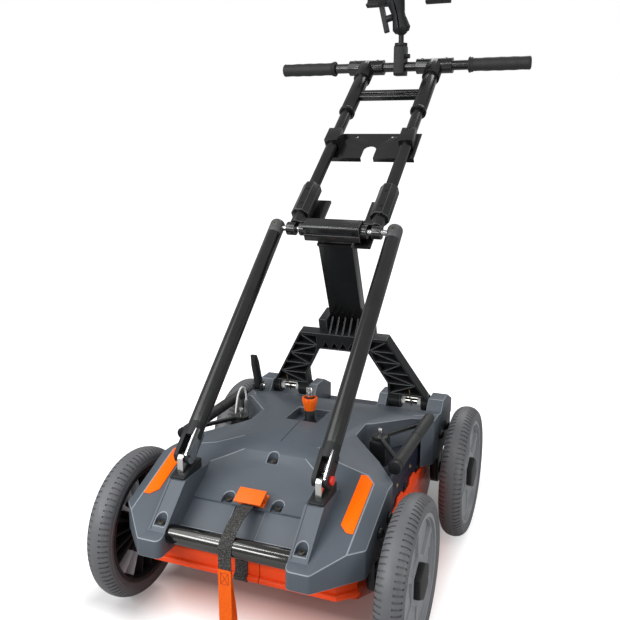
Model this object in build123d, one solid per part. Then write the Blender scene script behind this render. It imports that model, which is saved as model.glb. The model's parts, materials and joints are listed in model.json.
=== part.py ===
from build123d import *
import os
from math import acos, atan2, cos, degrees, hypot, radians, sin, sqrt, tan

# Ground penetrating radar push cart. Millimetres, +Z up, ground at Z = 0.
# The front of the cart faces -Y. Left and right are as seen from the front: left is -X.
# Drawing places are measured from the middle of the wheelbase, and the finished pieces
# are moved so that the middle of the whole cart stands over the origin.

# Stance and wheels
tyre_diameter = 304.0
tyre_width = 52.0
tyre_depth = 32.0
tyre_shoulder = 15.0
track = 570.0
wheelbase = 488.0
rim_width = 44.0
rim_wall = 8.0
rim_disc = 10.0
facet_count = 6
facet_angle = 50.0
facet_inner_radius = 46.0
facet_depth = 4.5
facet_tilt = 4.0
rim_slot_radius = 100.0
rim_slot_length = 22.0
rim_slot_width = 9.0
rib_count = 20
rib_thickness = 4.0
hub_radius = 30.0
hub_inboard = 35.0
hub_outboard = 17.0
cap_sides = 6
cap_radius = 37.0
cap_height = 12.0
cap_wall = 4.0

# Axles and wheel brackets
axle_radius = 8.0
axle_collar_radius = 13.0
axle_nut_height = 6.0
bracket_thickness = 16.0
bracket_radius = 35.0
bracket_arm_height = 42.0
side_play = 0.3
running_clearance = 0.05

# Chassis frame
chassis_inset = 31.0
chassis_front = -280.0
chassis_rear = 335.0
deck_top = 262.0
deck_thickness = 8.0
skirt_thickness = 7.0
skirt_bottom = 150.0
insert_radius = 2.5
insert_places = [(-43.0, 228.0), (62.0, 226.0)]

# Antenna tray
tray_front = -342.0
tray_rear = 268.0
tray_bottom = 90.0
tray_top = 205.0
tray_wall = 6.0
tray_gap = 0.5
tray_rear_drop = 2.0
tray_lip_bottom = 146.0
tray_lip_top = 178.0
tray_lip_length = 36.0
tray_ramp_length = 126.0
tray_tail_length = 53.0
tray_tail_rise = 46.0
tray_corner = 30.0
notch_depth = 13.0
notch_length = 52.0
notch_places = [-112.0, -10.0, 92.0]
module_gap = 20.0
module_margin = 18.0
module_height = 48.0
module_front = -205.0

# Top cover
cover_wall = 4.0
cover_bottom = 198.0
cover_corner = 9.0
nose_front = -424.0
nose_margin = 10.0
wheel_inset = 49.0
fender_half = track / 2 - wheel_inset
fender_front = -346.0
fender_back = -188.0
crease_margin = 2.5
fender_fall = 0.45
recess_half = 120.0
recess_front = -58.0
recess_rear = 8.0
recess_exit_inset = 24.0
recess_exit_y = 125.0
rear_fender_front = 152.0
cover_rear = 335.0
cover_waist_rear = 205.0
ridge_y = -211.0
crown_top = 346.0
roof_line = [(nose_front, 232.0), (ridge_y, 319.0), (-165.0, 340.0), (-84.0, crown_top),
             (-10.0, crown_top), (30.0, 343.0), (cover_waist_rear, 300.0), (cover_rear, 296.0)]
crown_line = [(55.0, crown_top), (130.0, 328.0), (195.0, 320.0), (fender_half, 303.0)]
bay_half = 119.0
bay_wall = -352.0
bay_sill = 229.0
bay_top = -304.0
ridge_half = 63.0
ridge_end_y = -260.0
panel_low = (-302.0, 266.0)
panel_high = (ridge_y, 310.0)
seam_width = 2.0
seam_depth = 1.2
strap_channel_half = 30.0
strap_channel_depth = 6.0
rail_width = 35.0
rail_front = -405.0
rail_top_y = -330.0
rail_top = 306.0
rail_back = -250.0
rail_border = 4.0
rail_channel_depth = 1.5
panel_pocket_x = 50.0
panel_pocket_setback = 11.0
rail_pocket_setback = 17.6
pocket_radius = 11.0
pocket_depth = 9.0
pocket_run = 24.0
socket_recess_half = 36.0
socket_recess_front = -62.0
socket_recess_back = 20.0
socket_recess_floor = 326.0
post_radius = 8.0
post_places = [(0.0, -204.0), (97.0, -120.0), (97.0, 105.0)]
reflector_length = 133.0
reflector_width = 26.0
reflector_corner = 14.0
reflector_thickness = 1.6
reflector_y = -272.0
bolt_radius = 6.5
bolt_height = 5.0
bolt_spacing = 60.0
bolt_z = 247.0

# Rear hinge and shoulders
hinge_y = 254.0
hinge_z = 306.0
hinge_pin_radius = 8.0
shoulder_cheek = 23.0
shoulder_front = 212.0
shoulder_top = 322.0
slot_floor = 276.0
slot_gap = 2.0

# Rear bridge, drawn in its own leaning plane from the hinge axis up
bridge_lean = 17.0
bridge_front = 16.0
bridge_back = 12.0
foot_inset = 38.0
foot_span = 95.0
foot_height = 14.0
arch_knee = 54.0
arch_half = 62.0
arch_top = 130.0
bridge_half = 108.0
bridge_top = 173.0
bridge_back_wall = 8.0
bridge_rib = 3.0
lattice_rows = 5
lug_radius = 20.0
inner_lug = 29.0
outer_lug = 16.0
lug_window_top = 22.0
bush_radius = 9.5
bush_flange_radius = 10.5
bush_flange = 10.0
tower_half = 62.0
tower_back = 60.0
tower_height = 30.0
tower_base = 140.0
gusset_thickness = 4.0
gusset_spacing = 16.0
gusset_count = 5
clip_wire_radius = 1.3
clip_bend = 3.9
clip_height = 44.0

# Hinge shaft, column and saddle
shaft_y = 128.7
shaft_z = 721.9
shaft_radius = 6.35
shaft_reach = 12.0
column_lean = 23.8
column_half = 40.0
column_front = 6.5
column_depth = 30.0
column_wall = 4.0
block_half = 65.0
block_size = 40.0
block_edge = 6.0
block_groove = 4.0
saddle_half = 84.0
saddle_offset = 25.5
saddle_thickness = 7.0
saddle_length = 126.0
saddle_notch_half = 50.0
saddle_notch_floor = 46.0
saddle_start = 22.0
latch_half = 19.0
latch_x = 65.0

# Struts and their feet
strut_x = 138.0
strut_foot_y = -296.6
strut_foot_z = 341.9
strut_radius = 17.0
strut_wall = 3.0
strut_eye_radius = 20.0
strut_screw_radius = 5.5
strut_screw_depth = 3.0
strut_plug = 20.0
fork_length = 66.0
fork_gap = 14.0
fork_cheek = 8.0
fork_half = 15.0
fork_root = 30.0
pin_radius = 5.0
pin_head_radius = 8.0
pin_head = 6.0
tongue_thickness = 12.0
tongue_front = 19.0
tongue_back = 13.0
tongue_over = 9.0
notch_clearance = 0.3
foot_width = 30.0
foot_front = -328.0
foot_back = -262.0
foot_rise = 19.0
foot_edge = 4.0
foot_crest = -279.0

# Handle, drawn along its tubes from the hinge shaft
handle_slope = 36.8
handle_x = 94.0
handle_length = 640.7
handle_eye_outer = 110.0
handle_eye_radius = 15.0
eye_gap_inner = 79.0
eye_gap_outer = 90.0
eye_root_depth = 12.0
sleeve_start = 42.0
sleeve_end = 139.0
sleeve_flats = 42.0
sleeve_sides = 8
sleeve_screw_margin = 24.0
neck_radius = 15.0
inner_tube_radius = 14.0
inner_tube_wall = 2.5
inner_tube_start = 50.0
inner_tube_inset = 40.7
plate_start = 270.0
plate_end = 366.0
plate_half = 117.0
plate_thickness = 3.0
plate_lip = 9.0
plate_notch = 32.0
plate_notch_depth = 48.0
plate_hole_radius = 3.3
plate_hole_x = 45.0
plate_hole_margin = 12.0
clip_half = 17.0
clip_start = 298.0
clip_end = 346.0
clip_front = 19.0
outer_tube_radius = 19.0
outer_tube_wall = 2.5
outer_tube_length = 176.0
outer_tube_inset = 24.7
tube_bush_length = 40.0
tube_bush_flange = 8.0
tube_bush_radius = 20.5
crossbar_drop = 145.7
crossbar_rail = 13.0
crossbar_gap = 5.0
crossbar_depth = 15.0
screw_radius = 3.5
screw_height = 1.5

# Handlebar
bar_radius = 12.7
bar_wall = 2.2
bar_half = 338.0
grip_start = 184.0
grip_radius = 17.5
grip_end_wall = 4.0
grip_collar = 6.0
grip_collar_radius = 20.5
clamp_half = 48.0
clamp_radius = 20.0
clamp_screw_x = 32.0
clamp_socket_radius = 23.0
clamp_socket_reach = 56.7

# Ball mount and tablet holder
claw_half = 14.0
claw_depth = 21.0
claw_bottom = -23.0
claw_top = 54.0
claw_mouth = 15.0
claw_knob_radius = 6.0
claw_knob_length = 11.0
disc_radius = 17.0
disc_height = 7.0
ball_radius = 18.0
ball_height = 98.0
ball_post_radius = 7.0
ball_clearance = 0.3
arm_length = 70.0
arm_lean = 14.0
arm_socket_radius = 24.0
arm_waist_radius = 17.0
arm_end = 9.0
arm_end_radius = 19.2
arm_split = 4.0
knob_screw_radius = 5.0
knob_stem_radius = 9.0
knob_stem = 17.0
knob_wing = 68.0
knob_wing_width = 15.0
knob_wing_depth = 12.0
holder_tilt = 20.0
holder_offset = 14.0
holder_post = 26.0
holder_plate = 6.0
holder_half = 46.0
holder_back = 36.0
holder_reach = 64.0
holder_leg = 16.0
cup_x = 84.0
cup_half = 34.0
cup_depth = 24.0
cup_wall = 6.0
cup_lip = 9.0
jaw_gap = 0.3
jaw_thickness = 5.0
jaw_half = 30.0
jaw_front = 20.0

# Pole socket
pole_y = -12.7
pole_radius = 9.0
pole_flange_radius = 14.0
pole_flange = 4.0
pole_shoulder_radius = 10.5
pole_top = 381.0
pole_pin_radius = 7.94
pole_pin_top = 403.0
collar_bottom = 353.0
collar_height = 28.0
collar_flare = 21.0
collar_low_radius = 11.5
collar_radius = 16.4
collar_mouth_radius = 13.0
collar_mouth_depth = 8.0
collar_rib_count = 10
collar_groove = 1.2
collar_rest = 0.3

# Front bar and lift strap
front_bar_y = -386.0
front_bar_z = 230.0
front_bar_radius = 17.5
front_bar_wall = 3.0
webbing_width = 25.0
webbing_thickness = 1.6
webbing_rest = 0.1
lift_strap_top = 214.0
lift_strap_tuck = 40.0
tail_end = 190.0
loop_top = 206.0
loop_bottom = 48.0
loop_bend = 10.0
loop_end_bend = 9.0
buckle_half = 27.0
buckle_start = 1.0
buckle_length = 28.0
buckle_base = 2.5
buckle_ear = 3.0
buckle_ear_radius = 6.0
buckle_pivot_along = 16.0
buckle_pivot_height = 9.0
buckle_pivot_radius = 2.5
buckle_grip = 19.6
cam_front = 9.0
lever_back = 9.0
lever_overhang = 8.0
lever_thickness = 4.0
lever_rest = 0.4
strap_space = 2.5

# Side carry bars, brake lever and encoder lead
carry_inset = 7.0
carry_z = 318.0
carry_front = -157.0
carry_rear = 128.0
carry_radius = 11.0
carry_cap_radius = 12.5
carry_cap = 8.0
carry_arm_width = 15.0
carry_arm_thickness = 7.0
carry_front_reach = -128.0
carry_rear_reach = 96.0
carry_apex_x = 160.0
carry_apex_y = -22.0
carry_block = 34.0
carry_pin_radius = 5.0
carry_pin_height = 16.0
brake_inset = 15.0
brake_y = 195.0
brake_pivot_z = 318.0
brake_length = 86.0
brake_lean = 18.0
brake_width = 20.0
brake_thickness = 13.0
brake_kink = 22.0
brake_pivot_radius = 4.0
brake_cheek = 6.0
brake_cheek_radius = 10.0
encoder_radius = 28.0
encoder_length = 16.0
lead_radius = 2.2
lead_bend_share = 0.45
lead_inset = 42.0
lead_points = [(70.0, 322.0), (70.0, 344.0), (54.0, 362.0), (32.0, 354.0), (20.0, 326.0),
               (14.0, 292.0), (14.0, deck_top)]
boot_radius = 7.0
boot_top_radius = 4.5
boot_height = 60.0
control_half = 84.0
control_front = -165.0
control_back = -35.0
control_height = 36.0
battery_half = 60.0
battery_front = 52.0
battery_back = 172.0
battery_height = 30.0

# Derived places
axle_z = tyre_diameter / 2
rim_radius = tyre_diameter / 2 - tyre_depth
chassis_half_width = fender_half - chassis_inset
nose_flat = bay_half + rail_width + nose_margin
reflector_x = (bay_half + rail_width + fender_half) / 2
fender_crease = reflector_x + reflector_width / 2 + crease_margin
recess_exit = fender_half - recess_exit_inset
foot_outer = fender_half - foot_inset
foot_inner = foot_outer - foot_span
shoulder_inner = foot_inner - shoulder_cheek
inner_tube_end = handle_length - inner_tube_inset
outer_tube_end = handle_length - outer_tube_inset
outer_tube_start = outer_tube_end - outer_tube_length
crossbar_start = handle_length - crossbar_drop
clamp_socket_start = handle_length - clamp_socket_reach
carry_x = fender_half - carry_inset
brake_x = brake_inset - fender_half
lead_x = lead_inset - fender_half
bracket_outer = fender_half - cover_wall
bracket_inner = bracket_outer - bracket_thickness
slot_inner = foot_inner - slot_gap
slot_outer = foot_outer + slot_gap
strut_length = hypot(shaft_y - strut_foot_y, shaft_z - strut_foot_z)
strut_slope = degrees(atan2(shaft_z - strut_foot_z, shaft_y - strut_foot_y))
panel_slope = degrees(atan2(panel_high[1] - panel_low[1], panel_high[0] - panel_low[0]))
bar_y = shaft_y + handle_length * cos(radians(handle_slope))
bar_z = shaft_z + handle_length * sin(radians(handle_slope))
lower_ball_z = bar_z + ball_height
upper_ball_x = -arm_length * sin(radians(arm_lean))
upper_ball_z = lower_ball_z + arm_length * cos(radians(arm_lean))
cut_reach = 200.0


def tilted(y, z, slope, x=0.0):
    """Plane at a place on the cart, with its Z axis rising at a slope towards the rear."""
    return Plane(origin=(x, y, z), x_dir=(1, 0, 0), z_dir=(0, cos(radians(slope)), sin(radians(slope))))


handle_frame = tilted(shaft_y, shaft_z, handle_slope)
strut_frame = tilted(shaft_y, shaft_z, 180 + strut_slope)
bridge_frame = tilted(hinge_y, hinge_z, 90 + bridge_lean)
column_frame = tilted(shaft_y, shaft_z, 90 + column_lean)
panel_frame = tilted(panel_low[0], panel_low[1], 90 + panel_slope)
holder_frame = tilted(bar_y, upper_ball_z, 90 - holder_tilt, upper_ball_x)
arm_frame = Plane(origin=(0, bar_y, lower_ball_z), x_dir=(cos(radians(arm_lean)), 0, sin(radians(arm_lean))),
                  z_dir=(-sin(radians(arm_lean)), 0, cos(radians(arm_lean))))


def outline(points):
    """Flat face bounded by straight edges through the points."""
    return make_face(Polyline(*points, close=True))


def mirrored(points):
    """The points on the right, then their mirror images on the left in reverse order."""
    return points + [(-x, y) for x, y in reversed(points)]


def plan_prism(points, low, high):
    """Upright prism of an outline in X and Y."""
    return Pos(0, 0, low) * extrude(outline(points), amount=high - low)


def side_prism(points, left, right):
    """Prism along X of an outline in Y and Z."""
    return extrude(Plane.YZ.offset(left) * outline(points), amount=right - left)


def front_prism(points, front, back):
    """Prism along Y of an outline in X and Z."""
    return extrude(Plane.XZ.offset(-front) * outline(points), amount=front - back)


def block(x_span, y_span, z_span):
    """Box between pairs of limits."""
    middle = [sum(span) / 2 for span in (x_span, y_span, z_span)]
    sizes = [span[1] - span[0] for span in (x_span, y_span, z_span)]
    return Pos(*middle) * Box(*sizes)


def rod_x(radius, left, right, y=0.0, z=0.0):
    """Round bar along X."""
    return Pos((left + right) / 2, y, z) * Rot(0, 90, 0) * Cylinder(radius, right - left)


def rod_z(radius, low, high, x=0.0, y=0.0):
    """Upright round bar."""
    return Pos(x, y, (low + high) / 2) * Cylinder(radius, high - low)


def pair(shape):
    """A piece on the right and its mirror image on the left."""
    return [shape, mirror(shape, about=Plane.YZ)]


def line_at(points, y):
    """Height of a broken line at a place along it."""
    for (y0, z0), (y1, z1) in zip(points, points[1:]):
        if y <= y1:
            return z0 + (z1 - z0) * (y - y0) / (y1 - y0)
    return points[-1][1]


def band(points, radii):
    """Flat webbing that follows a route in Y and Z with rounded bends."""
    path = FilletPolyline(*[(0, y, z) for y, z in points], radius=radii)
    start = Plane(origin=path @ 0, x_dir=(1, 0, 0), z_dir=path % 0)
    return sweep(start * Rectangle(webbing_width, webbing_thickness), path=path)


def tyre():
    """Rubber tyre about the X axis, with a round crown over straight sidewalls."""
    half = tyre_width / 2
    bead = rim_width / 2
    crown = tyre_diameter / 2
    shoulder = crown - tyre_shoulder
    side = Polyline((-half, shoulder), (-half, rim_radius + tyre_depth / 4), (-bead, rim_radius),
                    (bead, rim_radius), (half, rim_radius + tyre_depth / 4), (half, shoulder))
    tread = ThreePointArc((half, shoulder), (0, crown), (-half, shoulder))
    return revolve(make_face([side, tread]), axis=Axis.X)


def rim_facet():
    """Cutter for one facet of the rim's disc: a sector with a floor that tilts round the wheel."""
    reach = 2 * rim_radius
    spread = reach * tan(radians(facet_angle / 2))
    sector = Circle(rim_radius - rim_wall - rib_thickness) - Circle(facet_inner_radius)
    sector &= outline([(0, 0), (reach, -spread), (reach, spread)])
    facet = extrude(Plane.YZ * fillet(sector.vertices(), rib_thickness), amount=rim_width)
    above = block((0, reach), (-reach, reach), (-reach, reach))
    return facet & Pos(hub_outboard - facet_depth, 0, 0) * Rot(0, facet_tilt, 0) * above


def rim():
    """Rim about the X axis, outer face towards +X: barrel, faceted disc with two slots, hub and inner ribs."""
    barrel_inner = rim_radius - rim_wall
    disc_inner = hub_outboard - rim_disc
    body = rod_x(rim_radius, -rim_width / 2, rim_width / 2) - rod_x(barrel_inner, -rim_width, rim_width)
    body += rod_x(barrel_inner + rim_wall / 2, disc_inner, hub_outboard)
    body += rod_x(hub_radius, -hub_inboard, hub_outboard)
    facet = rim_facet()
    for step in range(facet_count):
        body -= Rot(360 * step / facet_count, 0, 0) * facet
    rib = block((-rim_width / 4, disc_inner + rim_disc / 4),
                (hub_radius - rib_thickness, barrel_inner + rib_thickness / 2),
                (-rib_thickness / 2, rib_thickness / 2))
    for step in range(rib_count):
        body += Rot(360 * (step + 0.5) / rib_count, 0, 0) * rib
    slot = Pos(rim_slot_radius, 0) * SlotOverall(rim_slot_length, rim_slot_width, rotation=90)
    cutter = extrude(Plane.YZ.offset(disc_inner) * slot, amount=rim_disc)
    for turn in (0, 180):
        body -= Rot(turn, 0, 0) * cutter
    return body - rod_x(axle_radius + running_clearance, -rim_width, rim_width)


def hub_cap():
    """Hexagonal cap about the X axis, hollow over the axle nut."""
    outside = RegularPolygon(cap_radius, cap_sides, rotation=180 / cap_sides)
    shell = extrude(Plane.YZ.offset(hub_outboard) * outside, amount=cap_height)
    face = shell.faces().sort_by(Axis.X)[-1]
    shell = chamfer(face.edges(), cap_wall / 2)
    return shell - rod_x(hub_radius - cap_wall, hub_outboard, hub_outboard + cap_height - cap_wall)


def wheel_bracket(y):
    """Plate that hangs inside the right-hand wheel, with an arm to the chassis side."""
    arm_top = deck_top - side_play
    plate = block((bracket_inner, bracket_outer), (y - bracket_radius, y + bracket_radius), (axle_z, arm_top))
    plate += rod_x(bracket_radius, bracket_inner, bracket_outer, y, axle_z)
    arm = block((chassis_half_width, bracket_inner), (y - bracket_radius, y + bracket_radius),
                (arm_top - bracket_arm_height, arm_top))
    return plate + arm - rod_x(axle_radius + running_clearance, bracket_inner, bracket_outer, y, axle_z)


def axle_stud(y):
    """Stub axle of a right-hand wheel with its collar and nut."""
    hub_face = track / 2 - hub_inboard - side_play
    nut_face = track / 2 + hub_outboard + side_play
    shank = rod_x(axle_radius, bracket_inner, nut_face + axle_nut_height, y, axle_z)
    collar = rod_x(axle_collar_radius, bracket_outer, hub_face, y, axle_z)
    nut = rod_x(axle_collar_radius, nut_face, nut_face + axle_nut_height, y, axle_z)
    return shank + collar + nut


def chassis_frame():
    """Folded deck with its end skirts, and two side plates with tapped holes."""
    inside = chassis_half_width - skirt_thickness
    span_y = (chassis_front, chassis_rear)
    deck = block((-inside, inside), span_y, (skirt_bottom, deck_top))
    deck -= block((-inside, inside), (chassis_front + skirt_thickness, chassis_rear - skirt_thickness),
                  (skirt_bottom, deck_top - deck_thickness))
    plate = block((inside, chassis_half_width), span_y, (skirt_bottom, deck_top))
    for y, z in insert_places:
        plate -= rod_x(insert_radius, inside, chassis_half_width, y, z)
    return [deck] + pair(plate)


def tray_profile(inset, top):
    """Side view of the tray, drawn in by a wall."""
    ramp_end = tray_front + tray_ramp_length
    return [(tray_front + inset, tray_lip_bottom + inset / 2), (ramp_end + inset / 2, tray_bottom + inset),
            (tray_rear - tray_tail_length - inset / 2, tray_bottom + inset),
            (tray_rear - inset, tray_bottom + tray_tail_rise + inset / 2), (tray_rear - inset, top),
            (tray_front + tray_lip_length, top), (tray_front + inset, tray_lip_top)]


def antenna_tray():
    """Open tub below the chassis, with a rising front, chamfered corners and a notched rim."""
    inner = chassis_half_width + tray_gap
    outer = inner + tray_wall
    tub = side_prism(tray_profile(0, tray_top), -outer, outer)
    corner_end = tray_front + tray_corner
    plan = mirrored([(outer - tray_corner, tray_front), (outer, corner_end), (outer, tray_rear)])
    tub &= plan_prism(plan, tray_bottom - tray_wall, tray_top)
    inner_plan = mirrored([(outer - tray_corner - tray_wall, tray_front), (inner, corner_end),
                           (inner, tray_rear)])
    hollow = side_prism(tray_profile(tray_wall, tray_top + tray_wall), -inner, inner)
    tub -= hollow & plan_prism(inner_plan, tray_bottom, tray_top + tray_wall)
    tub -= block((-inner, inner), (tray_rear - tray_wall, tray_rear),
                 (skirt_bottom - tray_rear_drop, tray_top))
    for y in notch_places:
        low = tray_top - notch_depth
        high = tray_top + tray_wall
        notch = [(y, low), (y + notch_length, low), (y + notch_length + notch_depth, high),
                 (y - notch_depth, high)]
        for cutter in pair(side_prism(notch, inner - tray_wall, outer + tray_wall)):
            tub -= cutter
    return tub


def antenna_modules():
    """Transmit and receive modules side by side on the tray floor."""
    floor = tray_bottom + tray_wall
    limit = chassis_half_width - module_margin
    module = block((module_gap / 2, limit), (module_front, tray_rear - tray_tail_length - module_margin),
                   (floor, floor + module_height))
    return pair(module)


def cover_plan():
    """Right half of the cover's outline from above."""
    return [(nose_flat, nose_front), (fender_half, fender_front), (fender_half, fender_back),
            (recess_half, recess_front), (recess_half, recess_rear), (recess_exit, recess_exit_y),
            (fender_half, rear_fender_front), (fender_half, cover_rear), (shoulder_inner, cover_rear),
            (shoulder_inner, cover_waist_rear)]


def nose_slope():
    """Slope of the roof from the nose up to the ridge, in degrees."""
    return degrees(atan2(roof_line[1][1] - roof_line[0][1], roof_line[1][0] - roof_line[0][0]))


def fender_fall_off(inset):
    """Wedge above the outer edge of the right-hand fender, which falls away from the roof."""
    crease = tilted(nose_front, roof_line[0][1] - inset, 90 + nose_slope(), fender_crease)
    wedge = [(0, 0), (cut_reach, -cut_reach * fender_fall), (cut_reach, cut_reach)]
    return crease * front_prism(wedge, -cut_reach, 2 * cut_reach)


def cover_form(inset):
    """Cover body without its fittings, drawn in by a wall on every side."""
    plan = outline(mirrored(cover_plan()))
    plan = fillet(plan.vertices(), cover_corner)
    if inset:
        plan = offset(plan, amount=-inset)
    high = shoulder_top + cut_reach
    body = Pos(0, 0, cover_bottom - inset) * extrude(plan, amount=high - cover_bottom)
    roof = [(y, z - inset) for y, z in roof_line]
    roof = [(nose_front, cover_bottom - cut_reach)] + roof + [(cover_rear, cover_bottom - cut_reach)]
    body &= side_prism(roof, -fender_half, fender_half)
    crown = [(x, z - inset) for x, z in crown_line] + [(fender_half, cover_bottom - cut_reach)]
    body &= front_prism(mirrored(crown), nose_front, cover_rear)
    for wedge in pair(fender_fall_off(inset)):
        body -= wedge
    far = nose_front - cut_reach
    bay_high = line_at([panel_low, panel_high], bay_top) - cover_wall
    bay = [(far, cover_bottom - cut_reach), (bay_wall + inset, cover_bottom - cut_reach),
           (bay_wall + inset, bay_sill - inset), (bay_top + inset, bay_high - inset),
           (bay_top + inset, high), (far, high)]
    body -= side_prism(bay, -bay_half - inset, bay_half + inset)
    sill = bay_sill - inset - strap_channel_depth
    channel = [(far, sill), (bay_wall + inset, sill),
               (bay_top + inset + strap_channel_depth, bay_high - inset),
               (bay_top + inset, bay_high), (far, bay_high)]
    body -= side_prism(channel, -strap_channel_half - inset, strap_channel_half + inset)
    fall = (panel_high[1] - panel_low[1]) / (panel_high[0] - panel_low[0])
    low_end = panel_low[1] - inset + fall * (far - panel_low[0])
    corner = (ridge_y + inset * (sqrt(2) - 1), panel_high[1] - inset)
    floor = [(far, low_end), corner, (corner[0] + cut_reach, corner[1] + cut_reach), (far, corner[1] + cut_reach)]
    panel = side_prism(floor, -bay_half - inset, bay_half + inset)
    for slope in pair(ridge_slope(inset)):
        panel &= slope
    return body - panel


def ridge_slope(inset):
    """Space in front of the slanted right-hand edge of the ridge, which rises at forty-five degrees."""
    low = Vector(bay_half, ridge_end_y, line_at([panel_low, panel_high], ridge_end_y))
    edge = (Vector(ridge_half, *panel_high) - low).normalized()
    outward = Vector(edge.Y, -edge.X, 0).normalized()
    facing = (outward + Vector(0, 0, 1)).cross(edge).normalized()
    seat = Plane(origin=low - facing * inset, x_dir=edge, z_dir=facing)
    reach = 2 * cut_reach
    return seat * block((-reach, reach), (-reach, reach), (0, reach))


def rail_channel():
    """Cutter for the sunk middle of the right-hand rail, between its raised borders."""
    nose = line_at(roof_line, rail_front) + cover_wall / 4 - rail_channel_depth
    channel = [(rail_front, nose), (rail_top_y, rail_top - rail_channel_depth),
               (rail_top_y, rail_top + cut_reach), (rail_front, rail_top + cut_reach)]
    return side_prism(channel, bay_half + rail_border, bay_half + rail_width - rail_border)


def rail_profile():
    """Side view of a ramp rail, from the nose up to the strut foot."""
    nose = line_at(roof_line, rail_front)
    return [(rail_front, nose - cover_wall), (rail_front, nose + cover_wall / 4), (rail_top_y, rail_top),
            (rail_back, rail_top), (rail_back, rail_top - 2 * cover_wall)]


def pocket_places():
    """Centre and floor height of each bolt pocket."""
    side_y = panel_low[0] + panel_pocket_setback
    side_floor = line_at([panel_low, panel_high], side_y) - pocket_depth
    rail_x = bay_half + rail_width / 2
    rail_y = rail_front + rail_pocket_setback
    rail_line = [(rail_front, line_at(roof_line, rail_front)), (rail_top_y, rail_top)]
    rail_floor = line_at(rail_line, rail_y) - pocket_depth
    crest = (0.0, ridge_y + pocket_depth, line_at(roof_line, ridge_y) - pocket_depth)
    return [crest, (panel_pocket_x, side_y, side_floor), (-panel_pocket_x, side_y, side_floor),
            (rail_x, rail_y, rail_floor), (-rail_x, rail_y, rail_floor)]


def pocket(radius, place, low, high):
    """Space of a bolt pocket: round at the back, straight-sided and open to the front."""
    x, y = place
    return rod_z(radius, low, high, x, y) + block((x - radius, x + radius), (y - pocket_run, y), (low, high))


def shoulder():
    """Right-hand shoulder block, slotted for a bridge foot and bored for the hinge pin."""
    cheek = [(shoulder_front, deck_top), (shoulder_front, hinge_z - 2 * hinge_pin_radius),
             (hinge_y - 2 * hinge_pin_radius, shoulder_top), (hinge_y + 4 * hinge_pin_radius, shoulder_top),
             (cover_rear, hinge_z - hinge_pin_radius), (cover_rear, deck_top)]
    body = side_prism(cheek, shoulder_inner, slot_inner) + side_prism(cheek, slot_outer, fender_half)
    return body + block((slot_inner, slot_outer), (shoulder_front, cover_rear), (deck_top, slot_floor))


def top_cover():
    """Hollow moulded cover with rails, bolt pockets, socket recess, support posts and shoulders."""
    high = shoulder_top + cut_reach
    outer = cover_form(0)
    for rail in pair(side_prism(rail_profile(), bay_half, bay_half + rail_width)):
        outer += rail
    for channel in pair(rail_channel()):
        outer -= channel
    shell = outer - cover_form(cover_wall)
    for x, y, floor in pocket_places():
        shell += pocket(pocket_radius + cover_wall, (x, y), floor - cover_wall, high) & outer
    recess_span = ((-socket_recess_half, socket_recess_half), (socket_recess_front, socket_recess_back))
    grown = [(low - cover_wall, far + cover_wall) for low, far in recess_span]
    shell += block(grown[0], grown[1], (socket_recess_floor - cover_wall, high)) & outer
    for x, y in post_places:
        for side in sorted({x, -x}):
            shell += rod_z(post_radius, deck_top, high, side, y) & outer
    for x, y, floor in pocket_places():
        shell -= pocket(pocket_radius, (x, y), floor, high)
    shell -= block(recess_span[0], recess_span[1], (socket_recess_floor, high))
    for side in pair(shoulder()):
        shell += side
    slot = block((slot_inner, slot_outer), (shoulder_front, cover_rear + cover_wall), (slot_floor, high))
    for cutter in pair(slot):
        shell -= cutter
    for bore in pair(rod_x(hinge_pin_radius + running_clearance, shoulder_inner + cover_wall,
                           fender_half - cover_wall, hinge_y, hinge_z)):
        shell -= bore
    tray_half = chassis_half_width + tray_gap + tray_wall + side_play
    shell -= block((-tray_half, tray_half), (chassis_front - side_play, cover_rear),
                   (cover_bottom - cover_wall, deck_top))
    shell -= block((-tray_half, tray_half), (tray_front - side_play, chassis_front),
                   (cover_bottom - cover_wall, tray_top + side_play))
    seam = [(y, z - seam_depth) for y, z in roof_line if ridge_y < y < socket_recess_front]
    seam += [(socket_recess_front, crown_top - seam_depth), (socket_recess_front, high), (seam[0][0], high)]
    shell -= side_prism(seam, -seam_width / 2, seam_width / 2)
    reach = bay_half + cover_wall
    return shell - rod_x(front_bar_radius + running_clearance, -reach, reach, front_bar_y, front_bar_z)


def side_reflectors():
    """Orange strips with one cut corner at each end, flat on the slopes beside the rails."""
    seat = tilted(reflector_y, line_at(roof_line, reflector_y), 90 + nose_slope(), reflector_x)
    half = reflector_width / 2
    end = reflector_length / 2
    cut = reflector_corner
    shape = outline([(cut - half, -end), (half, -end), (half, end - cut), (half - cut, end), (-half, end),
                     (-half, cut - end)])
    return pair(seat * extrude(shape, amount=reflector_thickness))


def cover_bolts():
    """Cap screws in the pockets and through the fenders."""
    head = Cylinder(bolt_radius, bolt_height, align=(Align.CENTER, Align.CENTER, Align.MIN))
    head -= Pos(0, 0, bolt_height / 2) * extrude(RegularPolygon(bolt_radius / 2, 6), amount=bolt_height)
    bolts = [Pos(x, y, floor) * head for x, y, floor in pocket_places()]
    for axle_y in (-wheelbase / 2, wheelbase / 2):
        for shift in (-bolt_spacing / 2, bolt_spacing / 2):
            bolts += pair(Pos(fender_half, axle_y + shift, bolt_z) * Rot(0, 90, 0) * head)
    return bolts


def strut_foot():
    """Black wedge on the right-hand rail, slotted for the tongue."""
    wedge = [(foot_front, rail_top), (foot_front, rail_top + foot_edge), (foot_crest, rail_top + foot_rise),
             (foot_back, rail_top + foot_rise), (foot_back, rail_top)]
    body = side_prism(wedge, strut_x - foot_width / 2, strut_x + foot_width / 2)
    half = tongue_thickness / 2 + running_clearance
    return body - block((strut_x - half, strut_x + half),
                        (strut_foot_y - tongue_front - running_clearance,
                         strut_foot_y + tongue_back + running_clearance),
                        (rail_top, strut_foot_z))


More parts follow.
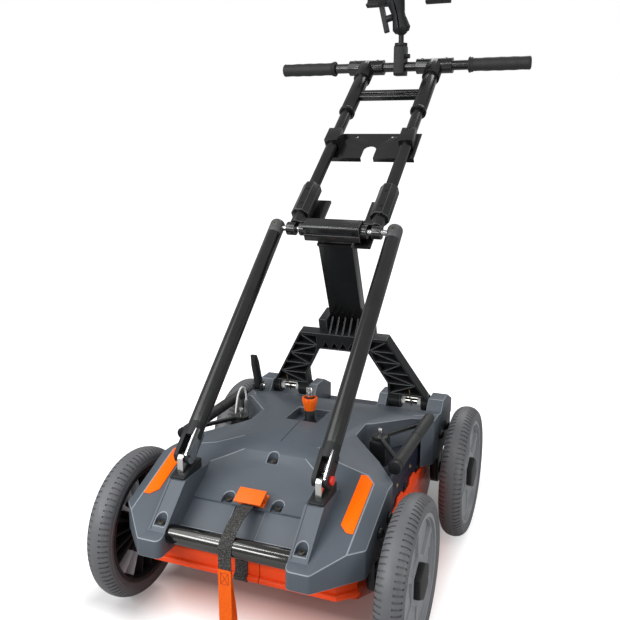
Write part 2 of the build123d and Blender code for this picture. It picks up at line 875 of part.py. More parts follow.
def strut_tongue():
    """Tongue with a hook that is open upwards, and forwards along the strut's swing."""
    top = strut_foot_z + tongue_over
    front = strut_foot_y - tongue_front
    back = strut_foot_y + tongue_back
    shape = outline([(front, rail_top), (back, rail_top), (back, top), (front + tongue_over, top),
                     (front, strut_foot_z)])
    width = 2 * (pin_radius + notch_clearance)
    reach = 2 * tongue_front
    for angle in (90, 90 + strut_slope):
        slot = Rot(0, 0, angle) * Pos(reach / 2, 0) * SlotCenterToCenter(reach, width)
        shape -= Pos(strut_foot_y, strut_foot_z) * slot
    return extrude(Plane.YZ.offset(strut_x - tongue_thickness / 2) * shape, amount=tongue_thickness)


def strut():
    """Right-hand strut: tube, eye, fork and cross pin, drawn along the strut from the shaft."""
    tube_start = strut_eye_radius
    tube_end = strut_length - fork_length
    bore = strut_radius - strut_wall
    plug = bore - running_clearance
    tube = rod_z(strut_radius, tube_start, tube_end) - rod_z(bore, tube_start, tube_end)
    eye = rod_z(strut_radius, -strut_eye_radius, tube_start)
    eye &= rod_x(strut_eye_radius, -strut_radius, strut_radius) + block(
        (-strut_radius, strut_radius), (-strut_radius, strut_radius), (0, tube_start))
    eye += rod_z(plug, 0, tube_start + strut_plug)
    eye -= rod_x(shaft_radius + running_clearance, -strut_radius, shaft_reach)
    eye -= Pos(0, strut_radius, 0) * Rot(90, 0, 0) * Cylinder(strut_screw_radius, 2 * strut_screw_depth)
    cheek = fork_gap / 2 + fork_cheek
    fork = rod_z(strut_radius, tube_end, tube_end + fork_root) + rod_z(plug, tube_end - strut_plug, tube_end)
    fork += block((-cheek, cheek), (-fork_half, fork_half), (tube_end + fork_root / 2, strut_length))
    fork += rod_x(fork_half, -cheek, cheek, 0, strut_length)
    gap = block((-fork_gap / 2, fork_gap / 2), (-strut_radius, strut_radius),
                (tube_end + fork_root, strut_length + fork_half))
    fork -= gap + rod_x(pin_radius + running_clearance, -strut_radius, strut_radius, 0, strut_length)
    pin = rod_x(pin_radius, -cheek, cheek + pin_head, 0, strut_length)
    pin += rod_x(pin_head_radius, cheek, cheek + pin_head, 0, strut_length)
    return [strut_frame * Pos(strut_x, 0, 0) * piece for piece in (tube, eye, fork, pin)]


def leg_edges(height):
    """Inner and outer X of a bridge leg at a height above the hinge."""
    inner = line_at([(0, foot_inner), (arch_knee, foot_inner), (arch_top, arch_half)], height)
    outer = line_at([(0, foot_outer), (foot_height, foot_outer), (bridge_top, bridge_half)], height)
    return inner, outer


def lattice_pockets():
    """Triangular openings between the diagonal ribs of the right-hand leg."""
    low = lug_window_top + bridge_rib
    heights = [low + (bridge_top - 2 * bridge_rib - low) * row / lattice_rows
               for row in range(lattice_rows + 1)]
    cells = []
    for row, (low, high) in enumerate(zip(heights, heights[1:])):
        corners = [(leg_edges(low)[0] + bridge_rib, low), (leg_edges(low)[1] - bridge_rib, low),
                   (leg_edges(high)[1] - bridge_rib, high), (leg_edges(high)[0] + bridge_rib, high)]
        turn = row % 2
        first = [corners[turn], corners[turn + 1], corners[(turn + 2) % 4]]
        second = [corners[turn], corners[(turn + 2) % 4], corners[(turn + 3) % 4]]
        cells += [first, second]
    return cells


def rear_bridge():
    """Ribbed arch: two legs, a beam and a tower for the column, in its leaning frame."""
    shape = [(foot_inner, 0), (foot_outer, 0), (foot_outer, foot_height), (bridge_half, bridge_top)]
    arch = [(arch_half, arch_top), (foot_inner, arch_knee)]
    points = shape + [(-x, z) for x, z in reversed(shape)]
    points += [(-x, z) for x, z in reversed(arch)] + arch
    body = front_prism(points, -bridge_front, bridge_back)
    pocket_back = bridge_back - bridge_back_wall
    for cell in lattice_pockets():
        opening = offset(outline(cell), amount=-bridge_rib / 2, kind=Kind.INTERSECTION)
        cutter = extrude(Plane.XZ.offset(bridge_front) * opening, amount=-bridge_front - pocket_back)
        for side in pair(cutter):
            body -= side
    tooth = gusset_spacing / 2 + bridge_rib
    for step in range(gusset_count):
        x = (step - (gusset_count - 1) / 2) * (2 * tooth)
        half = tooth - bridge_rib / 2
        low = arch_top + bridge_rib
        cell = [(x - half, low), (x + half, low), (x, arch_top + 2 * tooth)]
        body -= front_prism(cell, -bridge_front, pocket_back)
    body += block((-tower_half, tower_half), (bridge_back, tower_back), (tower_base, bridge_top))
    tower_top = bridge_top + tower_height
    for cheek in pair(block((column_half + slot_gap, tower_half), (0, tower_back), (bridge_top, tower_top))):
        body += cheek
    gusset_back = bridge_back + bridge_front / 2
    gusset = [(-bridge_front + bridge_rib, bridge_top), (gusset_back, tower_top), (gusset_back, bridge_top)]
    for step in range(gusset_count):
        x = (step - (gusset_count - 1) / 2) * gusset_spacing
        body += side_prism(gusset, x - gusset_thickness / 2, x + gusset_thickness / 2)
    window = block((foot_inner + inner_lug, foot_outer - outer_lug), (-bridge_front, bridge_back),
                   (0, lug_window_top))
    inner = rod_x(lug_radius, foot_inner, foot_inner + inner_lug)
    outer = rod_x(lug_radius, foot_outer - outer_lug, foot_outer)
    bore = rod_x(bush_radius + running_clearance, foot_inner, foot_outer)
    for foot, gap, hole in zip(pair(inner + outer), pair(window), pair(bore)):
        body = body - gap + foot - hole
    return bridge_frame * body - column_envelope()


def hinge_bushes():
    """Flanged white bushes in the lugs of both feet."""
    bore = rod_x(hinge_pin_radius + running_clearance, foot_inner, foot_outer)
    window_start = foot_inner + inner_lug
    window_end = foot_outer - outer_lug
    inner = rod_x(bush_radius, foot_inner, window_start)
    inner += rod_x(bush_flange_radius, window_start, window_start + bush_flange)
    outer = rod_x(bush_radius, window_end, foot_outer)
    outer += rod_x(bush_flange_radius, window_end - bush_flange, window_end)
    return [bridge_frame * bush for half in (inner - bore, outer - bore) for bush in pair(half)]


def hinge_pins():
    """Hinge pins of both feet with the wire clip of each."""
    start = shoulder_inner + cover_wall + side_play
    end = fender_half - cover_wall - side_play
    pin = rod_x(hinge_pin_radius, start, end)
    middle = (foot_inner + inner_lug + foot_outer - outer_lug) / 2
    on_pin = -hinge_pin_radius - clip_wire_radius - side_play
    on_leg = -bridge_front - clip_wire_radius - side_play
    route = [(middle, on_pin, -hinge_pin_radius), (middle, on_pin, hinge_pin_radius),
             (middle, on_leg, lug_window_top), (middle, on_leg, clip_height)]
    path = FilletPolyline(*route, radius=clip_bend)
    wire = sweep(Plane(origin=path @ 0, z_dir=path % 0) * Circle(clip_wire_radius), path=path)
    return [bridge_frame * piece for shape in (pin, wire) for piece in pair(shape)]


def column_envelope():
    """Outside of the column, from the bridge tower up to the hinge block."""
    low = -hypot(shaft_y - hinge_y, shaft_z - hinge_z)
    high = -block_size / 2
    bar = column_frame * block((-column_half, column_half), (-column_front, column_depth - column_front),
                               (low, high))
    below = block((-cut_reach, cut_reach), (-cut_reach, cut_reach), (-cut_reach, bridge_top))
    return bar - bridge_frame * below


def column():
    """Channel from the bridge tower up to the hinge block, with the saddle behind the handle."""
    inside = column_half - column_wall
    body = column_envelope() - column_frame * block(
        (-inside, inside), (column_wall - column_front, column_depth), (-2 * cut_reach, -block_size / 2))
    plate = (saddle_offset, saddle_offset + saddle_thickness)
    saddle = block((-saddle_half, saddle_half), plate, (saddle_start, saddle_length))
    saddle -= block((-saddle_notch_half, saddle_notch_half), (0, cut_reach), (saddle_notch_floor, cut_reach))
    saddle += block((-column_half, column_half), plate, (-block_size / 2, saddle_start))
    saddle += block((latch_x - latch_half, latch_x + latch_half), plate, (-block_size / 2, saddle_start))
    return body + handle_frame * saddle


def hinge_block():
    """Grooved extrusion that carries the hinge shaft."""
    half = block_size / 2
    bar = block((-block_half, block_half), (-half, half), (-half, half))
    bar = fillet(bar.edges().filter_by(Axis.X), block_edge)
    bar -= block((-block_half, block_half), (-half, block_groove - half),
                 (-block_groove / 2, block_groove / 2))
    return column_frame * (bar - rod_x(shaft_radius + running_clearance, -block_half, block_half))


def hinge_shaft():
    """Stainless shaft through block and handle eyes, with its ends in the strut eyes."""
    end = strut_x + shaft_reach - side_play
    return rod_x(shaft_radius, -end, end, shaft_y, shaft_z)


def handle_socket():
    """Right-hand handle socket: forked eye, neck and octagonal sleeve with two screws."""
    inner = block_half + side_play - handle_x
    eye = rod_x(handle_eye_radius, inner, handle_eye_outer - handle_x)
    eye -= block((eye_gap_inner - handle_x, eye_gap_outer - handle_x), (-cut_reach, cut_reach),
                 (-cut_reach, cut_reach))
    eye += block((inner, 0), (-eye_root_depth, eye_root_depth), (eye_root_depth, 2 * eye_root_depth))
    neck = rod_z(neck_radius, eye_root_depth, sleeve_start)
    section = RegularPolygon(sleeve_flats / 2, sleeve_sides, major_radius=False, rotation=180 / sleeve_sides)
    sleeve = Pos(0, 0, sleeve_start) * extrude(section, amount=sleeve_end - sleeve_start)
    body = eye + neck + sleeve
    for place in (sleeve_start + sleeve_screw_margin, sleeve_end - sleeve_screw_margin):
        body += Pos(0, -sleeve_flats / 2, place) * Rot(90, 0, 0) * Cylinder(
            screw_radius, screw_height, align=(Align.CENTER, Align.CENTER, Align.MIN))
    body -= rod_z(inner_tube_radius + running_clearance, inner_tube_start, sleeve_end)
    body -= rod_x(shaft_radius + running_clearance, -handle_x, handle_x)
    return handle_frame * Pos(handle_x, 0, 0) * body


def inner_tube():
    """Right-hand inner tube of the telescoping handle."""
    outside = rod_z(inner_tube_radius, inner_tube_start, inner_tube_end, handle_x)
    inside = rod_z(inner_tube_radius - inner_tube_wall, inner_tube_start, inner_tube_end, handle_x)
    return handle_frame * (outside - inside)


def accessory_plate():
    """Bent plate behind the inner tubes, with a notch and holes, and the two clips that hold it."""
    near = inner_tube_radius + running_clearance
    far = near + plate_thickness
    plate = block((-plate_half, plate_half), (near, far), (plate_start, plate_end))
    plate += block((-plate_half, plate_half), (near, far + plate_lip),
                   (plate_start, plate_start + plate_thickness))
    notch_top = plate_start + plate_notch_depth - plate_notch / 2
    plate -= block((-plate_notch / 2, plate_notch / 2), (0, cut_reach), (plate_start - plate_lip, notch_top))
    plate -= Pos(0, near, notch_top) * Rot(90, 0, 0) * Cylinder(plate_notch / 2, cut_reach)
    hole = Rot(90, 0, 0) * Cylinder(plate_hole_radius, cut_reach)
    for x in (-plate_hole_x, plate_hole_x):
        plate -= Pos(x, near, plate_end - plate_hole_margin) * hole
    clip = block((handle_x - clip_half, handle_x + clip_half), (-clip_front, near), (clip_start, clip_end))
    clip -= rod_z(near, clip_start, clip_end, handle_x)
    clip -= block((handle_x - near, handle_x + near), (0, near), (clip_start, clip_end))
    return [handle_frame * piece for piece in [plate] + pair(clip)]


def outer_tubes():
    """Sliding outer tubes and the flanged bush in the lower end of each."""
    bore = outer_tube_radius - outer_tube_wall
    tube = rod_z(outer_tube_radius, outer_tube_start, outer_tube_end, handle_x)
    tube -= rod_z(bore, outer_tube_start, outer_tube_end, handle_x)
    bush = rod_z(bore - running_clearance, outer_tube_start, outer_tube_start + tube_bush_length, handle_x)
    bush += rod_z(tube_bush_radius, outer_tube_start - tube_bush_flange, outer_tube_start, handle_x)
    bush -= rod_z(inner_tube_radius + running_clearance, outer_tube_start - tube_bush_flange,
                  outer_tube_start + tube_bush_length, handle_x)
    return [handle_frame * piece for shape in (tube, bush) for piece in pair(shape)]


def crossbar():
    """Two rails and a web between the outer tubes, with ends cut to the tubes."""
    half_depth = crossbar_depth / 2
    pitch = crossbar_rail + crossbar_gap
    span = (-handle_x, handle_x)
    body = block(span, (-half_depth / 2, half_depth / 2),
                 (crossbar_start, crossbar_start + pitch + crossbar_rail))
    for step in range(2):
        low = crossbar_start + step * pitch
        rail = block(span, (-half_depth, half_depth), (low, low + crossbar_rail))
        body += fillet(rail.edges().filter_by(Axis.X), crossbar_rail / 4)
    for tube in pair(rod_z(outer_tube_radius + running_clearance, 0, handle_length, handle_x)):
        body -= tube
    return handle_frame * body


def t_clamp():
    """Right-hand T-clamp: sleeve round the handlebar and socket for the outer tube."""
    sleeve = rod_x(clamp_radius, handle_x - clamp_half, handle_x + clamp_half, 0, handle_length)
    socket = rod_z(clamp_socket_radius, clamp_socket_start, handle_length, handle_x)
    body = sleeve + socket
    for shift in (-clamp_screw_x, clamp_screw_x):
        body += Pos(handle_x + shift, 0, handle_length) * rod_z(screw_radius, 0, clamp_radius + screw_height)
    body -= rod_z(outer_tube_radius + running_clearance, clamp_socket_start, outer_tube_end, handle_x)
    body -= rod_x(bar_radius + running_clearance, 0, handle_x + 2 * clamp_half, 0, handle_length)
    return handle_frame * body


def handlebar():
    """Straight tube handlebar."""
    bar = rod_x(bar_radius, -bar_half, bar_half, bar_y, bar_z)
    return bar - rod_x(bar_radius - bar_wall, -bar_half, bar_half, bar_y, bar_z)


def grip():
    """Right-hand grip with a closed end and a collar."""
    end = bar_half + grip_end_wall
    body = rod_x(grip_radius, grip_start, end, bar_y, bar_z)
    body = fillet(body.edges().sort_by(Axis.X)[-1], grip_end_wall)
    body += rod_x(grip_collar_radius, grip_start, grip_start + grip_collar, bar_y, bar_z)
    return body - rod_x(bar_radius + running_clearance, grip_start, bar_half, bar_y, bar_z)


def claw_clamp():
    """C-shaped clamp on the handlebar with its knob, disc and ball stud."""
    body = block((-claw_half, claw_half), (-claw_depth, claw_depth), (claw_bottom, claw_top))
    body = fillet(body.edges().filter_by(Axis.X), claw_half / 2)
    body -= rod_x(bar_radius + running_clearance, -claw_half, claw_half)
    body -= block((-claw_half, claw_half), (0, claw_depth), (-bar_radius / 2, -bar_radius / 2 + claw_mouth))
    body += rod_x(claw_knob_radius, claw_half, claw_half + claw_knob_length, 0, claw_top / 2)
    body += rod_z(disc_radius, claw_top, claw_top + disc_height)
    body += rod_z(ball_post_radius, claw_top, ball_height)
    body += Pos(0, 0, ball_height) * Sphere(ball_radius)
    return Pos(0, bar_y, bar_z) * body


def socket_arm():
    """Two clamping halves with a ball socket at each end."""
    top = arm_length + arm_end
    side = Polyline((0, -arm_end), (arm_end_radius, -arm_end), (arm_socket_radius, 0),
                    (arm_waist_radius, arm_length / 2), (arm_socket_radius, arm_length),
                    (arm_end_radius, top), (0, top))
    axis_line = Line((0, top), (0, -arm_end))
    body = revolve(Plane.XZ * make_face([side, axis_line]), axis=Axis.Z)
    for height in (0, arm_length):
        body -= Pos(0, 0, height) * Sphere(ball_radius + ball_clearance)
    body -= block((-arm_split / 2, arm_split / 2), (-cut_reach, cut_reach), (-cut_reach, cut_reach))
    flat = (arm_length / 2 - knob_stem_radius - side_play, arm_length / 2 + knob_stem_radius + side_play)
    for side in pair(block((arm_waist_radius, cut_reach), (-cut_reach, cut_reach), flat)):
        body -= side
    body -= rod_x(knob_screw_radius + running_clearance, -cut_reach, cut_reach, 0, arm_length / 2)
    return arm_frame * body


def t_knob():
    """Clamping screw with its T-shaped wing, on the left of the arm."""
    middle = arm_length / 2
    face = -arm_waist_radius - side_play
    body = rod_x(knob_screw_radius, face, arm_waist_radius, 0, middle)
    body += rod_x(knob_stem_radius, face - knob_stem, face, 0, middle)
    wing = block((face - knob_stem - knob_wing_depth, face - knob_stem),
                 (-knob_wing_width / 2, knob_wing_width / 2),
                 (middle - knob_wing / 2, middle + knob_wing / 2))
    return arm_frame * (body + fillet(wing.edges().filter_by(Axis.X), knob_wing_width / 4))


def holder_cup(y, floor):
    """Hooked cup on the right that holds one edge of a tablet, mouth towards the middle."""
    outward = 1 if y > 0 else -1
    across = (cup_x - cup_half, cup_x + cup_half)
    back = sorted((y, y + outward * cup_wall))
    lip = sorted((y - outward * cup_lip, y + outward * cup_wall))
    top = floor + cup_depth
    wall = block(across, back, (floor, top))
    foot = block(across, lip, (floor, floor + cup_wall))
    hook = block(across, lip, (top - cup_wall / 2, top))
    return wall + foot + hook


def holder_legs(start, reach, floor, thickness):
    """Plan of two splayed legs from a plate out to its cups."""
    half = holder_leg / 2
    shape = [(0, start - half), (cup_x - half, reach), (cup_x + half, reach), (holder_leg, start - half)]
    leg = plan_prism(shape, floor, floor + thickness)
    return leg + mirror(leg, about=Plane.YZ)


def holder_body():
    """Tablet holder with its ball, plate and two lower cups."""
    floor = holder_post
    body = Sphere(ball_radius) + rod_z(ball_post_radius, 0, holder_post)
    plate = block((-holder_half, holder_half), (-holder_back, holder_back), (floor, floor + holder_plate))
    plate += holder_legs(0, holder_reach, floor, holder_plate)
    for cup in pair(holder_cup(holder_reach, floor)):
        plate += cup
    return holder_frame * (body + Pos(holder_offset, 0, 0) * plate)


def holder_jaw():
    """Sliding jaw with the two upper cups."""
    floor = holder_post + holder_plate + jaw_gap
    plate = block((-jaw_half, jaw_half), (-holder_back, jaw_front), (floor, floor + jaw_thickness))
    plate += holder_legs(0, -holder_reach, floor, jaw_thickness)
    for cup in pair(holder_cup(-holder_reach, floor)):
        plate += cup
    return holder_frame * Pos(holder_offset, 0, 0) * plate


def socket_post():
    """Pole socket: black post and the steel pin on its top."""
    post = rod_z(pole_radius, socket_recess_floor, pole_top, 0, pole_y)
    post += rod_z(pole_flange_radius, socket_recess_floor, socket_recess_floor + pole_flange, 0, pole_y)
    post += rod_z(pole_shoulder_radius, socket_recess_floor, collar_bottom - collar_rest, 0, pole_y)
    return [post, rod_z(pole_pin_radius, pole_top, pole_pin_top, 0, pole_y)]


def socket_collar():
    """Fluted collar that slides on the post."""
    side = Polyline((0, 0), (collar_low_radius, 0), (collar_radius, collar_flare),
                    (collar_radius, collar_height), (0, collar_height), close=True)
    body = revolve(Plane.XZ * make_face(side), axis=Axis.Z)
    groove = Pos(collar_radius, 0, 0) * rod_z(collar_groove, 0, collar_height)
    for step in range(collar_rib_count):
        body -= Rot(0, 0, 360 * step / collar_rib_count) * groove
    body -= rod_z(pole_radius + running_clearance, 0, collar_height)
    body -= rod_z(collar_mouth_radius, collar_height - collar_mouth_depth, collar_height)
    return Pos(0, pole_y, collar_bottom) * body


def front_bar():
    """Tube between the noses."""
    half = bay_half + cover_wall
    bar = rod_x(front_bar_radius, -half, half, front_bar_y, front_bar_z)
    return bar - rod_x(front_bar_radius - front_bar_wall, -half, half, front_bar_y, front_bar_z)


def on_panel(along, height):
    """Y and Z of a place on the front panel, up its slope and above its face."""
    slope = radians(panel_slope)
    return (panel_low[0] + along * cos(slope) - height * sin(slope),
            panel_low[1] + along * sin(slope) + height * cos(slope))


def lift_strap():
    """Webbing from under the tray's front lip straight up behind the front bar."""
    skin = webbing_thickness / 2 + webbing_rest
    ramp = atan2(tray_lip_bottom - tray_bottom, tray_ramp_length)
    face = tray_front - skin
    corner = tray_lip_bottom - skin * (1 - sin(ramp)) / cos(ramp)
    tuck = (face + lift_strap_tuck * cos(ramp), corner - lift_strap_tuck * sin(ramp))
    return band([tuck, (face, corner), (face, lift_strap_top)], webbing_thickness)


def strap_tail():
    """Webbing from the buckle over the front bar, hanging in front of it."""
    wrap = front_bar_radius + webbing_thickness / 2 + side_play
    level = buckle_base + webbing_rest + webbing_thickness / 2
    start = on_panel(buckle_start + buckle_grip, level)
    leave = on_panel(-lever_overhang / 2, level)
    across = leave[0] - front_bar_y
    above = leave[1] - front_bar_z
    touch = atan2(above, across) + acos(wrap / hypot(across, above))
    hang = front_bar_y - wrap
    corner = (hang, front_bar_z + wrap * (1 + cos(touch)) / sin(touch))
    return band([start, leave, corner, (hang, tail_end)], [wrap / 2, wrap])


def pull_loop():
    """Orange webbing sewn to both faces of the tail's end and doubled into a loop."""
    hang = front_bar_y - front_bar_radius - webbing_thickness / 2 - side_play
    layer = webbing_thickness + webbing_rest
    front = hang - layer
    back = hang + layer
    far = front + 2 * loop_bend
    route = [(front, loop_top), (front, loop_bottom), (far, loop_bottom), (far, loop_bottom + 4 * loop_bend),
             (back, tail_end - loop_bend), (back, loop_top)]
    return band(route, [loop_end_bend, loop_end_bend, loop_bend, loop_bend])


def buckle_frame():
    """Base plate and two round-topped ears of the cam buckle on the front panel."""
    base = block((-buckle_half, buckle_half), (buckle_start, buckle_start + buckle_length), (0, buckle_base))
    inside = buckle_half - buckle_ear
    ear = block((inside, buckle_half),
                (buckle_pivot_along - buckle_ear_radius, buckle_pivot_along + buckle_ear_radius),
                (buckle_base, buckle_pivot_height))
    ear += rod_x(buckle_ear_radius, inside, buckle_half, buckle_pivot_along, buckle_pivot_height)
    hole = buckle_pivot_radius + running_clearance
    ear -= rod_x(hole, inside, buckle_half, buckle_pivot_along, buckle_pivot_height)
    for side in pair(ear):
        base += side
    return panel_frame * base


def buckle_lever():
    """Cam lever of the buckle with its lid and pivot stubs."""
    inside = buckle_half - buckle_ear - side_play
    lid_low = buckle_pivot_height + buckle_ear_radius + lever_rest
    lid = block((-buckle_half, buckle_half), (-lever_overhang, buckle_pivot_along + lever_back),
                (lid_low, lid_low + lever_thickness))
    lid = fillet(lid.edges().filter_by(Axis.X), lever_thickness / 3)
    cam = block((-inside, inside),
                (buckle_pivot_along - cam_front, buckle_pivot_along + buckle_pivot_radius / 2),
                (buckle_base + strap_space, lid_low + lever_thickness / 2))
    stub = rod_x(buckle_pivot_radius, -buckle_half, buckle_half, buckle_pivot_along, buckle_pivot_height)
    return panel_frame * (lid + cam + stub)


def carry_handle():
    """Right-hand carry bar with end caps and two arms that meet at its bracket."""
    along = Pos(carry_x, carry_front, carry_z) * Rot(-90, 0, 0)
    bar = along * rod_z(carry_radius, 0, carry_rear - carry_front)
    cap = along * rod_z(carry_cap_radius, 0, carry_cap)
    half = carry_arm_width / 2
    low = carry_z - carry_arm_thickness / 2
    high = low + carry_arm_thickness
    body = bar + cap
    for reach in (carry_front_reach, carry_rear_reach):
        arm = [(carry_apex_x, carry_apex_y - half), (carry_x, reach - half), (carry_x, reach + half),
               (carry_apex_x, carry_apex_y + half)]
        body += plan_prism(arm, low, high)
    body += rod_z(carry_block / 2, low, high, carry_apex_x, carry_apex_y)
    return body - rod_z(carry_pin_radius + running_clearance, low, high, carry_apex_x, carry_apex_y)


def carry_bracket():
    """Block under the right-hand carry bar, and the steel pin that holds the bar's arms."""
    low = carry_z - carry_arm_thickness / 2
    pin_low = low - carry_pin_height
    pin_high = low + carry_arm_thickness + carry_pin_height
    half = carry_block / 2
    foot = block((carry_apex_x - half, carry_apex_x + half), (carry_apex_y - half, carry_apex_y + half),
                 (deck_top, low))
    foot -= rod_z(carry_pin_radius + running_clearance, pin_low, low, carry_apex_x, carry_apex_y)
    return [foot, rod_z(carry_pin_radius, pin_low, pin_high, carry_apex_x, carry_apex_y)]


def brake_bracket():
    """Forked bracket that stands on the cover and holds the brake lever's pivot."""
    seat = line_at(roof_line, brake_y - brake_cheek_radius)
    inside = brake_thickness / 2 + side_play
    outside = (brake_x - inside - brake_cheek, brake_x + inside + brake_cheek)
    fork = block(outside, (brake_y - brake_cheek_radius, brake_y + brake_cheek_radius), (seat, brake_pivot_z))
    fork += rod_x(brake_cheek_radius, *outside, brake_y, brake_pivot_z)
    fork -= block((brake_x - inside, brake_x + inside), (brake_y - cut_reach, brake_y + cut_reach),
                  (brake_pivot_z - brake_cheek_radius - side_play, brake_pivot_z + cut_reach))
    return fork - rod_x(brake_pivot_radius + running_clearance, *outside, brake_y, brake_pivot_z)


def side_brackets():
    """Brackets of both carry bars and of the brake lever."""
    return [solid for piece in carry_bracket() for solid in pair(piece)] + [brake_bracket()]


def brake_lever():
    """Upright lever with a bent tip and its pivot pin."""
    half = brake_width / 2
    shaft = [(-half, 0), (half, 0), (half, brake_length - brake_kink), (half / 2, brake_length),
             (-half / 2, brake_length + half / 2), (-half, brake_length - brake_kink)]
    body = side_prism(shaft, -brake_thickness / 2, brake_thickness / 2)
    body += rod_x(half, -brake_thickness / 2, brake_thickness / 2)
    outside = brake_thickness / 2 + side_play + brake_cheek
    body += rod_x(brake_pivot_radius, -outside, outside)
    return Pos(brake_x, brake_y, brake_pivot_z) * Rot(brake_lean, 0, 0) * body


def wheel_encoder():
    """Ring encoder on the rear left bracket, round the axle collar."""
    span = (-bracket_outer - encoder_length, -bracket_outer)
    ring = rod_x(encoder_radius, *span, wheelbase / 2, axle_z)
    return ring - rod_x(axle_collar_radius + side_play, *span, wheelbase / 2, axle_z)


def encoder_lead():
    """Lead from the boot over and down to the deck, with each bend as wide as its runs allow."""
    points = [Vector(lead_x, y, z) for y, z in lead_points]
    runs = [b - a for a, b in zip(points, points[1:])]
    radii = []
    for before, after in zip(runs, runs[1:]):
        half_turn = radians(before.get_angle(after) / 2)
        radii.append(lead_bend_share * min(before.length, after.length) * cos(half_turn) / sin(half_turn))
    path = FilletPolyline(*points, radius=radii)
    return sweep(Plane(origin=path @ 0, z_dir=path % 0) * Circle(lead_radius), path=path)


def cable_boot():
    """Tapered boot that stands on the deck and ends at the lead."""
    y, top = lead_points[0]
    body = Pos(lead_x, y, deck_top + boot_height / 2) * Cone(boot_radius, boot_top_radius, boot_height)
    return body + rod_z(boot_radius, deck_top, deck_top + boot_height / 4, lead_x, y)


def control_unit():
    """Electronics box on the deck."""
    return block((-control_half, control_half), (control_front, control_back),
                 (deck_top, deck_top + control_height))


def battery_pack():
    """Battery on the deck behind the electronics."""
    return block((-battery_half, battery_half), (battery_front, battery_back),
                 (deck_top, deck_top + battery_height))


def all_nodes():
    """Every node's name and its solids, in drawing places."""
    nodes = {
        "top_cover": [top_cover()],
        "chassis_frame": chassis_frame(),
        "front_bar": [front_bar()],
        "side_reflectors": side_reflectors(),
        "cover_bolts": cover_bolts(),
        "strut_feet": pair(strut_foot()),
        "strut_tongues": pair(strut_tongue()),
        "hinge_pins": hinge_pins(),
        "hinge_bushes": hinge_bushes(),
        "socket_post": socket_post(),
        "socket_collar": [socket_collar()],
        "side_brackets": side_brackets(),
        "right_carry_handle": [carry_handle()],
        "left_carry_handle": [mirror(carry_handle(), about=Plane.YZ)],
        "brake_lever": [brake_lever()],
        "encoder_lead": [encoder_lead()],
        "cable_boot": [cable_boot()],
        "wheel_encoder": [wheel_encoder()],
        "control_unit": [control_unit()],
        "battery_pack": [battery_pack()],
        "buckle_frame": [buckle_frame()],
        "buckle_lever": [buckle_lever()],
        "strap_tail": [strap_tail()],
        "pull_loop": [pull_loop()],
        "lift_strap": [lift_strap()],
        "antenna_tray": [antenna_tray()],
        "antenna_modules": antenna_modules(),
        "rear_bridge": [rear_bridge()],
        "column": [column()],
        "hinge_block": [hinge_block()],
        "hinge_shaft": [hinge_shaft()],
        "right_strut": strut(),
        "left_strut": [mirror(piece, about=Plane.YZ) for piece in strut()],
        "handle_sockets": pair(handle_socket()),
        "inner_tubes": pair(inner_tube()),
        "accessory_plate": accessory_plate(),
        "outer_tubes": outer_tubes(),
        "crossbar": [crossbar()],
        "t_clamps": pair(t_clamp()),
        "handlebar": [handlebar()],
        "grips": pair(grip()),
        "claw_clamp": [claw_clamp()],
        "socket_arm": [socket_arm()],
        "t_knob": [t_knob()],
        "holder_body": [holder_body()],
        "holder_jaw": [holder_jaw()],
        "wheel_brackets": [],
        "axle_studs": [],
    }
    for row, y in (("front", -wheelbase / 2), ("rear", wheelbase / 2)):
        nodes["wheel_brackets"] += pair(wheel_bracket(y))
        nodes["axle_studs"] += pair(axle_stud(y))
        for piece, shape in (("tyre", tyre()), ("rim", rim()), ("hub_cap", hub_cap())):
            right = Pos(track / 2, y, axle_z) * shape
            nodes[f"{row}_right_{piece}"] = [right]
            nodes[f"{row}_left_{piece}"] = [mirror(right, about=Plane.YZ)]
    return nodes


def main():
    """Write one STEP file per node, moved so that the middle of the cart stands over the origin."""
    os.makedirs("parts", exist_ok=True)
    nodes = all_nodes()
    rear = max(piece.bounding_box().max.Y for piece in nodes["holder_body"])
    centre = Pos(0, -(nose_front + rear) / 2, 0)
    for name, pieces in nodes.items():
        solids = [centre * solid for piece in pieces for solid in piece.solids()]
        export_step(Compound(children=solids), f"parts/{name}.step")


main()
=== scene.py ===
import json
import math

import bpy
from bpy.props import FloatProperty, FloatVectorProperty, IntProperty, PointerProperty
from mathutils import Matrix, Vector

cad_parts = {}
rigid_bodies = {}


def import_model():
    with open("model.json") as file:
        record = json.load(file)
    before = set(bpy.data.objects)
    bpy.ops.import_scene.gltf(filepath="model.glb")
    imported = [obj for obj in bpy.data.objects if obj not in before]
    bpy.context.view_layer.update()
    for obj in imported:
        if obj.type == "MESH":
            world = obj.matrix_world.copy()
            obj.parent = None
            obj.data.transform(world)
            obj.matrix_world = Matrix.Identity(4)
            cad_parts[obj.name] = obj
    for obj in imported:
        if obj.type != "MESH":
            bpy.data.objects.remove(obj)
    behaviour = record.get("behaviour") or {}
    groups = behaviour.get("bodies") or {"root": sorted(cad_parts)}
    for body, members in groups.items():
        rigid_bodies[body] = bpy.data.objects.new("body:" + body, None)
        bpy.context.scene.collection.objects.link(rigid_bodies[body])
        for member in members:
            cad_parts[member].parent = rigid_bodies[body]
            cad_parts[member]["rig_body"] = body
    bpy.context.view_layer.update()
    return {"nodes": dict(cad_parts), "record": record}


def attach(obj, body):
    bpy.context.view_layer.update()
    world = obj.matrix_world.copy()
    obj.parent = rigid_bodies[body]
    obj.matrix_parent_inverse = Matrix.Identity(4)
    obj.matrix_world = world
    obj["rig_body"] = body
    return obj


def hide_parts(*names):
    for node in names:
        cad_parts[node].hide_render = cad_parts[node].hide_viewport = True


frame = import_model()

